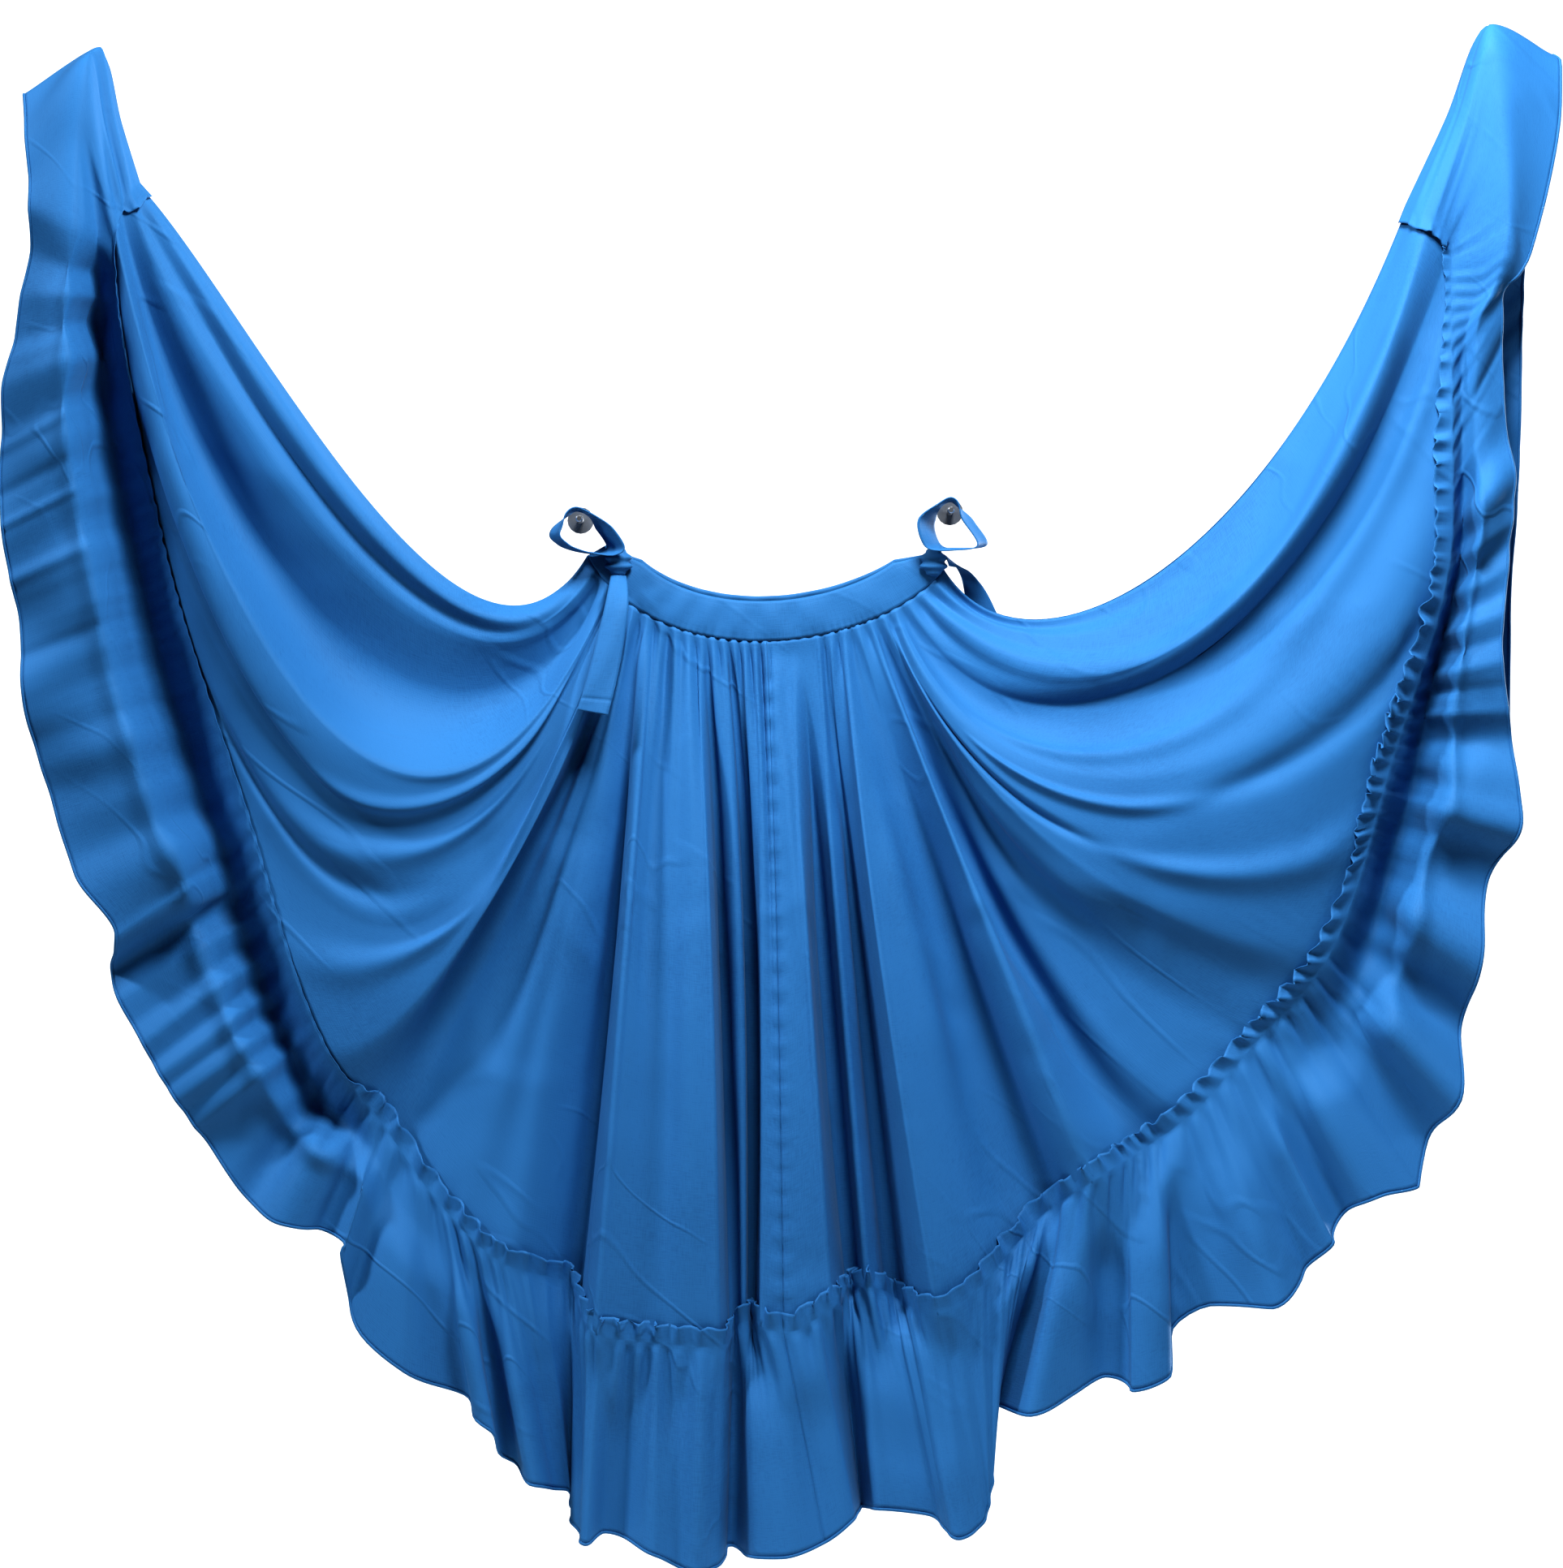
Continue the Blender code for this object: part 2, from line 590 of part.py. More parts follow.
def band_grid(ends_and_middle, rise, lean):
    """Half the waistband: two edges, the upper one square to the waist seam."""
    share = np.linspace(0.0, 1.0, BAND_STATIONS)
    curve = pulled_curve(*WAIST_CURVE, share)
    x, z = curve[:, 0], curve[:, 1]
    bow = waist_bow(x)
    z = z + rise * bow
    out = waist_out(x, ends_and_middle)
    along_seam = unit(np.stack([np.gradient(x), np.gradient(z)], axis=1))
    height = BAND_END_HEIGHT + (BAND_HEIGHT - BAND_END_HEIGHT) * np.minimum(1.0, 2.0 * bow)
    upper_x = x - along_seam[:, 1] * height
    upper_z = z + along_seam[:, 0] * height
    lower = np.stack([x, out, z], axis=1)
    upper = np.stack([upper_x, out + lean * bow, upper_z], axis=1)
    return np.stack([lower, upper], axis=1)


def panel_grid(lines, steps):
    """Wall through the fold lines, set below the band by the seam gap."""
    marks = seam_marks(lines)
    places = stations(steps, marks)
    grid = loft(marks, lines, places)
    downwards = unit(grid[:, 1] - grid[:, 0])
    grid[:, 0] += downwards * 3 * SEAM_GAP
    return grid, marks, places


def ruffle_grid(panel, panel_places, keys, header, side):
    """Ruffle wall: frilled header over the panel, the gathered stitch line, and the fall to the hem.

    keys is a list of (place along the seam, three points: tuck, crest and hem), header a list
    of (place along the seam, share of the header that shows).
    """
    outward, stand_share, wave_size, gather_width, calm_place = side
    key_places = np.array([key[0] for key in keys])
    key_points = np.array([key[1] for key in keys])
    places = gathered_places(panel_places, gather_width)
    normals, square, up_folds = mitred_edge_normals(panel)
    normals = normals * outward
    edge = along(panel_places, panel[:, -1], places)
    out = along(panel_places, normals, places)
    square = unit(along(panel_places, square, places))
    up_folds = unit(along(panel_places, up_folds, places))
    calm = int(np.argmin(np.abs(places - calm_place)))
    step = (np.arange(len(places)) - calm) % len(GATHER_PATTERN)
    from_sides = np.minimum(places - places[0], places[-1] - places) / GATHERS_FADE
    wave = (np.array(GATHER_PATTERN)[step] * uneven(len(places)))[:, None]
    wave = wave * np.minimum(from_sides, 1.0)[:, None]
    forward = np.array([0.0, outward, 0.0])
    stitch = edge - square * STITCH_DROP + out * STITCH_STAND
    shown = np.interp(places, *zip(*header))[:, None]
    top = edge + up_folds * HEADER_HEIGHT * shown + out * STITCH_STAND
    frill = np.minimum(HEADER_WAVE, ROOM_FOR_WAVE * column_room(top[:, None]))
    top = top + forward * (HEADER_STAND + wave * frill) * shown * stand_share
    tuck = smooth_through(key_places, key_points[:, 0], places)
    crest = smooth_through(key_places, key_points[:, 1], places)
    hem = smooth_through(key_places, key_points[:, 2], places)
    path = np.stack([stitch, tuck, crest, hem])
    flat = path.reshape(4, -1)
    lower = smooth_through(RUFFLE_KEYS, flat, RUFFLE_ROWS).reshape(len(RUFFLE_ROWS), -1, 3)
    grid = np.concatenate([top[None], stitch[None], lower]).transpose(1, 0, 2)
    swell = np.concatenate([[0.0, 0.0], np.minimum(1.0, WAVE_AT_STITCH + RUFFLE_ROWS)])
    room = ROOM_FOR_WAVE * column_room(grid)
    size = np.minimum(wave_size * swell[None, :], room)
    grid = grid + wall_normals(grid) * wave[:, None] * size[:, :, None]
    return grid, calm


def gathered_places(panel_places, gather_width):
    """The panel's own columns, with as many more between them as the gathers need."""
    places = []
    for start, end in zip(panel_places[:-1], panel_places[1:]):
        count = max(1, round((end - start) / gather_width))
        places.extend(np.linspace(start, end, count, endpoint=False))
    places.append(panel_places[-1])
    return np.array(places)


def along(places, values, wanted):
    """Straight interpolation of points between a panel's columns."""
    return np.stack([np.interp(wanted, places, values[:, i]) for i in range(values.shape[1])], axis=1)


def hem_keys(table, panel, panel_places, place_at):
    """Tuck, crest and hem points of the ruffle below each row of a hem table."""
    keys = []
    for row in table:
        hem = dict(zip(HEM_COLUMNS, row))
        place = np.interp(hem["at"], *place_at)
        seam = along(panel_places, panel[:, -1], np.array([place]))[0]
        end = np.array([hem["x"], hem["hem_out"], hem["z"]], float)
        tuck = seam + (end - seam) * RUFFLE_KEYS[1]
        crest = seam + (end - seam) * RUFFLE_KEYS[2]
        tuck[1] = hem["tuck_out"]
        crest[1] = hem["crest_out"]
        keys.append((place, (tuck, crest, end)))
    return keys


def hitch_keys(table, panel, panel_places, place_at):
    """The same three points where the ruffle is hitched up over a peg."""
    keys = []
    for row in table:
        hitch = dict(zip(HITCH_COLUMNS, row))
        place = np.interp(hitch["at"], *place_at)
        seam = along(panel_places, panel[:, -1], np.array([place]))[0]
        top = np.array([hitch["peg_x"], hitch["peg_out"], hitch["peg_z"]], float)
        end = np.array([hitch["x"], hitch["hem_out"], hitch["z"]], float)
        keys.append((place, ((seam + top) / 2, top, end)))
    return keys


def with_side_turns(grid, turn_left, turn_right):
    """Add a short turn towards the other layer at both side seams."""
    first = turned_edge(grid[0], turn_left)
    last = turned_edge(grid[-1], turn_right)
    return np.concatenate([first, grid, last])


def with_side_edges(grid, side_lines, turn):
    """Close a back wall's sides on the front panel's own side edges, just behind them."""
    return np.concatenate([turned_edge(side_lines[0], turn), grid, turned_edge(side_lines[1], turn)])


def make_peg(name, x, z, length, material, collection):
    """Turned wall peg: a round rose on the wall and a plain rod."""
    profile = ((0.0, length), (PEG_RADIUS - 1.0, length), (PEG_RADIUS, length - 1.0),
               (PEG_RADIUS, PEG_ROSE_DEPTH), (PEG_ROSE_RADIUS, PEG_ROSE_DEPTH),
               (PEG_ROSE_RADIUS, 0.0), (0.0, 0.0))
    mesh = bpy.data.meshes.new(name)
    points = [(r * MM, 0.0, h * MM) for r, h in profile]
    edges = [(i, i + 1) for i in range(len(points) - 1)]
    mesh.from_pydata(points, edges, [])
    mesh.materials.append(material)
    peg = bpy.data.objects.new(name, mesh)
    peg.location = (x * MM, 0.0, z * MM)
    peg.rotation_euler = (math.pi / 2, 0.0, 0.0)
    collection.objects.link(peg)
    screw = peg.modifiers.new("turned", "SCREW")
    screw.steps = PEG_SIDES
    screw.render_steps = PEG_SIDES
    screw.use_merge_vertices = True
    screw.merge_threshold = 0.00001
    return peg


def make_ring(name, points, outs, material, collection):
    """Tie loop: a closed ribbon round the points (x, z), wider open at its front edge."""
    flat = np.array(points, float)
    middle = flat.mean(axis=0)
    edges = []
    for out, size in zip(outs, (1.0 - LOOP_FLARE, 1.0, 1.0 + LOOP_FLARE)):
        place = middle + (flat - middle) * size
        edges.append(np.stack([place[:, 0], np.full(len(place), out), place[:, 1]], axis=1))
    return wall_object(name, np.stack(edges, axis=1), material, collection, round_column=True)


def make_tail(name, table, material, collection):
    """Free end of a tie: a ribbon between its two edges."""
    rows = [dict(zip(TAIL_COLUMNS, row)) for row in table]
    sides = [[(row["x_" + side], row["out_" + side], row["z_" + side]) for row in rows]
             for side in ("left", "right")]
    left, right = np.array(sides, float)
    grid = np.stack([left, (left + right) / 2, right])
    grid[1, :, 1] += TAIL_FOLD
    return wall_object(name, grid, material, collection)


def make_knot(name, x, out, z, material, collection):
    """Knot of a tie: a rounded lump with two wraps."""
    mesh = bpy.data.meshes.new(name)
    shape = bmesh.new()
    bmesh.ops.create_uvsphere(shape, u_segments=KNOT_SIDES, v_segments=KNOT_SIDES // 2, radius=1.0)
    for vertex in shape.verts:
        pinch = 1.0 - KNOT_PINCH * math.cos(3.0 * math.pi * vertex.co.z)
        vertex.co.x *= KNOT_HALF_WIDTH * pinch * MM
        vertex.co.y *= KNOT_HALF_DEPTH * pinch * MM
        vertex.co.z *= KNOT_HALF_HEIGHT * MM
    shape.to_mesh(mesh)
    shape.free()
    mesh.materials.append(material)
    mesh.shade_smooth()
    knot = bpy.data.objects.new(name, mesh)
    knot.location = (x * MM, -out * MM, z * MM)
    collection.objects.link(knot)
    return knot


def main():
    clear_scene()
    skirt = make_collection("circle_skirt_on_wall_pegs")
    cloth = make_material("plain_weave_cloth", CLOTH_BLUE, 0.75, 0.0)
    steel = make_material("peg_steel", PEG_STEEL, 0.35, 1.0)

    routes = fold_routes()
    names = [route["name"] for route in routes]
    back_names = [row[0] for row in BACK_FOLDS]

    front_lines = front_fold_lines(routes, PANEL_ROWS)
    front, marks, front_places = panel_grid(front_lines, [route["steps"] for route in routes])
    seam_place = marks[names.index("centre_seam")]
    centre = int(np.argmin(np.abs(front_places - seam_place)))
    turned = with_side_turns(front, SIDE_SEAM_TURN, SIDE_SEAM_TURN)
    left, right = split(turned, centre + 1)
    wall_object("panel_front_left", left, cloth, skirt)
    wall_object("panel_front_right", right, cloth, skirt)

    place_at = (np.arange(len(marks)), marks)
    keys = hitch_keys(LEFT_HITCH, front, front_places, place_at)
    keys += hem_keys(FRONT_HEM, front, front_places, place_at)
    keys += hitch_keys(RIGHT_HITCH, front, front_places, place_at)
    header = [(np.interp(at, *place_at), share) for at, share in HEADER_SHARE]
    side = (1.0, 1.0, RUFFLE_WAVE, GATHER_WIDTH, seam_place)
    ruffle, middle = ruffle_grid(front, front_places, keys, header, side)
    turned = with_side_turns(ruffle, SIDE_SEAM_TURN, SIDE_SEAM_TURN)
    left, right = split(turned, middle + 1)
    wall_object("ruffle_front_left", left, cloth, skirt)
    wall_object("ruffle_front_right", right, cloth, skirt)

    back_lines = back_fold_lines(routes, BACK_PANEL_ROWS)
    back, back_marks, back_places = panel_grid(back_lines, [row[3] for row in BACK_FOLDS])
    side_lines = front_fold_lines([routes[0], routes[-1]], BACK_PANEL_ROWS)
    turned = with_side_edges(back, side_lines, SIDE_SEAM_TURN + 2 * SEAM_GAP)
    seam_place = back_marks[back_names.index("centre_seam")]
    centre = int(np.argmin(np.abs(back_places - seam_place)))
    left, right = split(turned, centre + 1)
    wall_object("panel_back_left", left, cloth, skirt)
    wall_object("panel_back_right", right, cloth, skirt)

    place_at = ([names.index(name) for name in back_names], back_marks)
    keys = hem_keys(BACK_HEM, back, back_places, place_at)
    header = [(np.interp(at, *place_at), share * BACK_HEADER_SHARE) for at, share in HEADER_SHARE]
    side = (-1.0, BACK_STAND_SHARE, BACK_RUFFLE_WAVE, BACK_GATHER_WIDTH, seam_place)
    ruffle, middle = ruffle_grid(back, back_places, keys, header, side)
    left, right = split(ruffle, middle)
    wall_object("ruffle_back_left", left, cloth, skirt)
    wall_object("ruffle_back_right", right, cloth, skirt)

    wall_object("waistband_front", band_grid(FRONT_WAIST_OUT, 0.0, -BAND_LEAN), cloth, skirt)
    wall_object("waistband_back", band_grid(BACK_WAIST_OUT, BACK_WAIST_RISE, BAND_LEAN), cloth, skirt)

    make_ring("tie_loop_left", LEFT_LOOP, LOOP_OUTS, cloth, skirt)
    make_ring("tie_loop_right", RIGHT_LOOP, LOOP_OUTS, cloth, skirt)
    make_knot("tie_knot_left", *LEFT_KNOT, cloth, skirt)
    make_knot("tie_knot_right", *RIGHT_KNOT, cloth, skirt)
    make_tail("tie_tail_left", LEFT_TAIL, cloth, skirt)
    make_tail("tie_tail_right", RIGHT_TAIL, cloth, skirt)
    for row in PEGS:
        peg = dict(zip(PEG_COLUMNS, row))
        make_peg(peg["peg"], peg["x"], peg["z"], peg["length"], steel, skirt)


main()
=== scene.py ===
# %% [markdown]
# # A circle skirt hung on a wall, in cloth
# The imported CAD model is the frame: four wall pegs and the plain walls of the skirt. Each cloth wall
# is replaced here by a thin, finely folded sheet of the same form, so the skirt stays where the pegs
# hold it. Tables are millimetres: x to the right, z up, and "out" from the wall.

# %% Load the frame
import math

import bpy
import numpy as np
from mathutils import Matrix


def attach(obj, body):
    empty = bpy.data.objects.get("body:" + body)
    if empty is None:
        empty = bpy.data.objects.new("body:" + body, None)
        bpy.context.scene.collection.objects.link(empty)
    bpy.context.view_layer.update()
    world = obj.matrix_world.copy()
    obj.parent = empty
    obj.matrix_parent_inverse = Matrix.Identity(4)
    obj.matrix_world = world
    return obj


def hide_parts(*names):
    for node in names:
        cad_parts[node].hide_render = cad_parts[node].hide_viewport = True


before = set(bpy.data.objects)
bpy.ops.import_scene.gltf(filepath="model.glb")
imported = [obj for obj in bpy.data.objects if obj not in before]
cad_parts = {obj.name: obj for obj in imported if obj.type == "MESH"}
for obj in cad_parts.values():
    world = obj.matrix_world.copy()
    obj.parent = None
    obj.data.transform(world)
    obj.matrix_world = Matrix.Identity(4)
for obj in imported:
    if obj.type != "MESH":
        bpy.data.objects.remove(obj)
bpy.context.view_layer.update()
MM = 0.001
print("nodes:", sorted(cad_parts))

# %% [markdown]
# ## The camera
# The photograph looks straight at the wall from far away, so the camera is level, eight metres in
# front of the cloth, with a long lens. The frame is 1926 pixels wide and a pixel is 0.85 mm there.

# %% Camera
PIXEL = 0.85
IMAGE_WIDTH = 1926
CAMERA_DISTANCE = 8000.0
CLOTH_OUT = 90.0
VIEW_CENTRE = (15.7, -283.9)
SENSOR = 36.0

lens = bpy.data.cameras.new("photograph_view")
lens.sensor_fit = "HORIZONTAL"
lens.sensor_width = SENSOR
lens.lens = SENSOR * CAMERA_DISTANCE / (IMAGE_WIDTH * PIXEL)
lens.clip_end = 100.0
camera = bpy.data.objects.new("photograph_view", lens)
camera.location = (VIEW_CENTRE[0] * MM, -(CLOTH_OUT + CAMERA_DISTANCE) * MM, VIEW_CENTRE[1] * MM)
camera.rotation_euler = (math.pi / 2, 0.0, 0.0)
bpy.context.scene.collection.objects.link(camera)
bpy.context.scene.camera = camera
print("lens", round(lens.lens, 1), "mm")

# %% [markdown]
# ## Curves and sheets
# Every fold of the skirt is a line that hangs from the waist to the ruffle seam. A cloth sheet is
# the smooth surface through such lines, so two small tools are needed first: a curve that passes
# through given values without swinging past them, and a hanging line with four pull points.

# %% Smooth curves
CURVE_SAMPLES = 200


def smooth_through(keys, values, wanted):
    """Cubic curve through the values that never swings past them (monotone Hermite).

    The tangent at a value is the weighted harmonic mean of the slopes before and after it, and 0
    where those differ in sign. Between two values the curve blends both values and both tangents."""
    keys = np.asarray(keys, float)
    values = np.asarray(values, float)
    span = np.diff(keys)
    slope = np.diff(values, axis=0) / span[:, None]
    before, after = slope[:-1], slope[1:]
    weight_a = (2 * span[1:] + span[:-1])[:, None]
    weight_b = (span[1:] + 2 * span[:-1])[:, None]
    same_way = before * after > 0
    safe_before = np.where(same_way, before, 1.0)
    safe_after = np.where(same_way, after, 1.0)
    mean = (weight_a + weight_b) / (weight_a / safe_before + weight_b / safe_after)
    tangent = np.concatenate([slope[:1], np.where(same_way, mean, 0.0), slope[-1:]])
    part = np.clip(np.searchsorted(keys, wanted, side="right") - 1, 0, len(keys) - 2)
    s = ((wanted - keys[part]) / span[part])[:, None]
    h = span[part][:, None]
    from_value = (2 * s**3 - 3 * s**2 + 1) * values[part] + (3 * s**2 - 2 * s**3) * values[part + 1]
    from_slope = (s**3 - 2 * s**2 + s) * tangent[part] + (s**3 - s**2) * tangent[part + 1]
    return from_value + h * from_slope


def along(places, values, wanted):
    """Straight interpolation of points between a panel's columns."""
    return np.stack([np.interp(wanted, places, values[:, i]) for i in range(values.shape[1])], axis=1)


def pulled_curve(p0, p1, p2, p3, share, cut_length=None):
    """Cubic Bezier from p0 to p3, pulled towards p1 and p2, read at shares of its length.

    With a cut length, the upper rows keep their true distance from the waist, and the lower
    rows take up the slack.
    """
    s = np.linspace(0.0, 1.0, CURVE_SAMPLES)[:, None]
    back = 1.0 - s
    ends = back**3 * np.array(p0, float) + s**3 * np.array(p3, float)
    pulls = 3 * back**2 * s * np.array(p1, float) + 3 * back * s**2 * np.array(p2, float)
    points = ends + pulls
    length = np.concatenate([[0.0], np.cumsum(np.linalg.norm(np.diff(points, axis=0), axis=1))])
    share = np.asarray(share, float)
    if cut_length:
        pace = cut_length / length[-1]
        share = share * (1.0 + (pace - 1.0) * (1.0 - share) ** 2)
    return along(length / length[-1], points, share)


def unit(vectors):
    """Vectors of length one."""
    return vectors / np.maximum(np.linalg.norm(vectors, axis=-1, keepdims=True), 1e-9)


def uneven_wave(t, pitch, seed, wild=1.0):
    """A wave of the given pitch whose spacing and size keep changing, as in hand-made gathers.

    It is the sine of 2 pi times a count of pitches, times a slowly changing size. The count is bent
    by two slower sines. Wild scales both changes: at 0 the wave is even."""
    bend = 0.9 * np.sin(t / (3.1 * pitch) + seed) + 0.42 * np.sin(t / (1.7 * pitch) + 2 * seed)
    count = t / pitch + wild * bend
    size = 1 - 0.38 * wild * (1 - np.sin(t / (2.3 * pitch) + 1.3 * seed))
    return np.sin(2 * np.pi * count) * size


def crisp(wave):
    """The wave with flat sides and sharp crests, as starched cotton folds.

    It is the arcsine of the wave, scaled so that 1 stays close to 1."""
    return np.arcsin(0.97 * np.clip(wave, -1.0, 1.0)) * 2 / np.pi


def bell(x, middle, width):
    """A bell curve: 1 at the middle, and e to the minus 1 at the width from it."""
    return np.exp(-((x - middle) / width)**2)


def rise(x, start, end):
    """0 before start, 1 after end, and between them 3 s squared less 2 s cubed, a soft S."""
    s = np.clip((x - start) / (end - start), 0.0, 1.0)
    return s * s * (3 - 2 * s)


print("middle of a test curve:", pulled_curve((0, 0), (0, -1), (1, -1), (1, 0), [0.5]))

# %% [markdown]
# ## The fabric
# The real cloth is a plain-weave poly-cotton in royal blue: a light shirting-weight fabric with a
# matt face, a faint sheen on the folds, and small wrinkles from handling. The material draws the
# threads as two stretched noises, one along each direction of the cloth's own UV map, which is in
# metres. Real threads are about 0.3 mm apart, and are drawn 1.1 mm apart so that they show. Soft
# wrinkles are a ridged noise. The sharp creases of a skirt kept folded are thin lines where a
# stretched, turned noise passes its middle value, shown only in patches. All three are bump.

# %% Material tools
THREAD = 1.1 * MM
SLUB = 14 * MM
WEAVE_DEPTH = 0.4 * MM
WRINKLE = 120 * MM
WRINKLE_DEPTH = 9 * MM
CREASE_WIDE = 70 * MM
CREASE_LONG = 320 * MM
CREASE_TURN = math.radians(38)
CREASE_PATCH = 260 * MM
CREASE_DEPTH = 1.3 * MM
CREASE_THIN = 0.035
CREASE_PATCH_EDGE = (0.44, 0.62)


def linear(hex_colour):
    """An sRGB hex colour as linear RGBA: each channel plus 0.055, over 1.055, to the power 2.4.

    Very dark channels are divided by 12.92 instead."""
    parts = [int(hex_colour[i:i + 2], 16) / 255 for i in (0, 2, 4)]
    return (*[c / 12.92 if c <= 0.04045 else ((c + 0.055) / 1.055) ** 2.4 for c in parts], 1.0)


def add_node(tree, kind, settings=(), inputs=(), links=()):
    """A shader node with its settings, its input values and what feeds its inputs.

    What feeds an input is an output, or a node, which stands for its first output."""
    node = tree.nodes.new("ShaderNode" + kind)
    for key, value in dict(settings).items():
        setattr(node, key, value)
    for key, value in dict(inputs).items():
        node.inputs[key].default_value = value
    for key, source in dict(links).items():
        out = source.outputs[0] if isinstance(source, bpy.types.Node) else source
        tree.links.new(out, node.inputs[key])
    return node


def new_material(name):
    """An empty node material with its output node."""
    material = bpy.data.materials.new(name)
    material.use_nodes = True
    material.node_tree.nodes.clear()
    output = add_node(material.node_tree, "OutputMaterial")
    return material, material.node_tree, output


# %% Poly-cotton
def poly_cotton(name, colour, deep, wrinkle):
    """Plain-weave poly-cotton: threads, wrinkles and creases as bump, two near tones, a faint sheen.

    The first colour is the light tone, deep is the dark one, and wrinkle the strength of the bump."""
    material, tree, output = new_material(name)
    uv = add_node(tree, "UVMap", {"uv_map": "cloth"}).outputs["UV"]
    threads = []
    for across, down in ((THREAD, SLUB), (SLUB, THREAD)):
        place = add_node(tree, "Mapping", inputs={"Scale": (1 / across, 1 / down, 1.0)},
                         links={"Vector": uv})
        noise = add_node(tree, "TexNoise", {"noise_dimensions": "2D"},
                         {"Scale": 1.0, "Detail": 1.0}, {"Vector": place})
        threads.append(noise)
    weave = add_node(tree, "Math", {"operation": "ADD"}, links={0: threads[0], 1: threads[1]})
    place = add_node(tree, "TexCoord")
    press = add_node(tree, "TexNoise", {"noise_type": "RIDGED_MULTIFRACTAL"},
                     {"Scale": 1.0 / WRINKLE, "Detail": 3.0, "Roughness": 0.45, "Distortion": 0.6},
                     {"Vector": place.outputs["Object"]})
    soft = add_node(tree, "Bump", inputs={"Strength": wrinkle, "Distance": WRINKLE_DEPTH},
                    links={"Height": press})
    turned = add_node(tree, "Mapping", {"vector_type": "TEXTURE"},
                      {"Rotation": (0.0, CREASE_TURN, 0.0), "Scale": (CREASE_LONG, CREASE_WIDE, CREASE_WIDE)},
                      {"Vector": place.outputs["Object"]})
    level = add_node(tree, "TexNoise", inputs={"Scale": 1.0, "Detail": 1.0, "Roughness": 0.4},
                     links={"Vector": turned})
    off = add_node(tree, "Math", {"operation": "SUBTRACT"}, {1: 0.5}, {0: level})
    away = add_node(tree, "Math", {"operation": "ABSOLUTE"}, links={0: off})
    line = add_node(tree, "MapRange", {"interpolation_type": "SMOOTHSTEP"},
                    {"From Max": CREASE_THIN, "To Min": 1.0, "To Max": 0.0}, {"Value": away})
    patch = add_node(tree, "TexNoise", inputs={"Scale": 1.0 / CREASE_PATCH, "Detail": 2.0},
                     links={"Vector": place.outputs["Object"]})
    fades, shows = CREASE_PATCH_EDGE
    here = add_node(tree, "MapRange", {"interpolation_type": "SMOOTHSTEP"},
                    {"From Min": fades, "From Max": shows}, {"Value": patch})
    pressed = add_node(tree, "Math", {"operation": "MULTIPLY"}, links={0: line, 1: here})
    sharp = add_node(tree, "Bump", inputs={"Strength": wrinkle, "Distance": CREASE_DEPTH},
                     links={"Height": pressed, "Normal": soft})
    fine = add_node(tree, "Bump", inputs={"Strength": 0.25, "Distance": WEAVE_DEPTH},
                    links={"Height": weave, "Normal": sharp})
    tone = add_node(tree, "TexNoise", inputs={"Scale": 5.0, "Detail": 3.0},
                    links={"Vector": place.outputs["Object"]})
    both = add_node(tree, "Math", {"operation": "MULTIPLY_ADD"}, {1: 0.5}, {0: weave, 2: tone})
    ramp = add_node(tree, "ValToRGB", links={"Fac": both})
    ramp.color_ramp.elements[0].position = 0.55
    ramp.color_ramp.elements[0].color = linear(deep)
    ramp.color_ramp.elements[1].position = 1.0
    ramp.color_ramp.elements[1].color = linear(colour)
    shader = add_node(tree, "BsdfPrincipled",
                      inputs={"Roughness": 0.72, "Sheen Weight": 0.04, "Sheen Roughness": 0.45,
                              "Sheen Tint": (0.75, 0.86, 1.0, 1.0), "IOR": 1.5,
                              "Specular IOR Level": 0.25},
                      links={"Base Color": ramp.outputs["Color"], "Normal": fine})
    tree.links.new(shader.outputs[0], output.inputs[0])
    return material


CLOTH_BLUE = "2E6A9C"
CLOTH = poly_cotton("poly_cotton_plain_weave_blue", CLOTH_BLUE, "265D8C", 0.55)
TAPE = poly_cotton("poly_cotton_doubled_tape_blue", "2C6696", "245984", 0.2)
print("cloth colour, linear:", [round(c, 3) for c in linear(CLOTH_BLUE)])

# %% [markdown]
# ## Making a sheet
# A sheet is a grid of points: columns go round the skirt and rows go down it. Each grid becomes a
# mesh with a UV map in metres of cloth, and Solidify gives it a thickness. That is 0.7 mm, about
# twice the real cloth's, so that its edges show. Then the piece takes over from its CAD wall. A roll
# of cloth along a path makes the hem.

# %% Grid to mesh
SHEET_THICKNESS = 0.7
TAPE_THICK = 1.2
BAND_THICK = 1.6
made = {}


def uv_metres(grid):
    """Cloth coordinates in metres: sums of the longest steps across and of the mean steps down."""
    across = np.linalg.norm(np.diff(grid, axis=0), axis=2).max(axis=1)
    down = np.linalg.norm(np.diff(grid, axis=1), axis=2).mean(axis=0)
    u = np.concatenate([[0.0], np.cumsum(across)]) * MM
    v = np.concatenate([[0.0], np.cumsum(down)]) * MM
    return np.stack(np.broadcast_arrays(u[:, None], -v[None, :]), axis=-1)


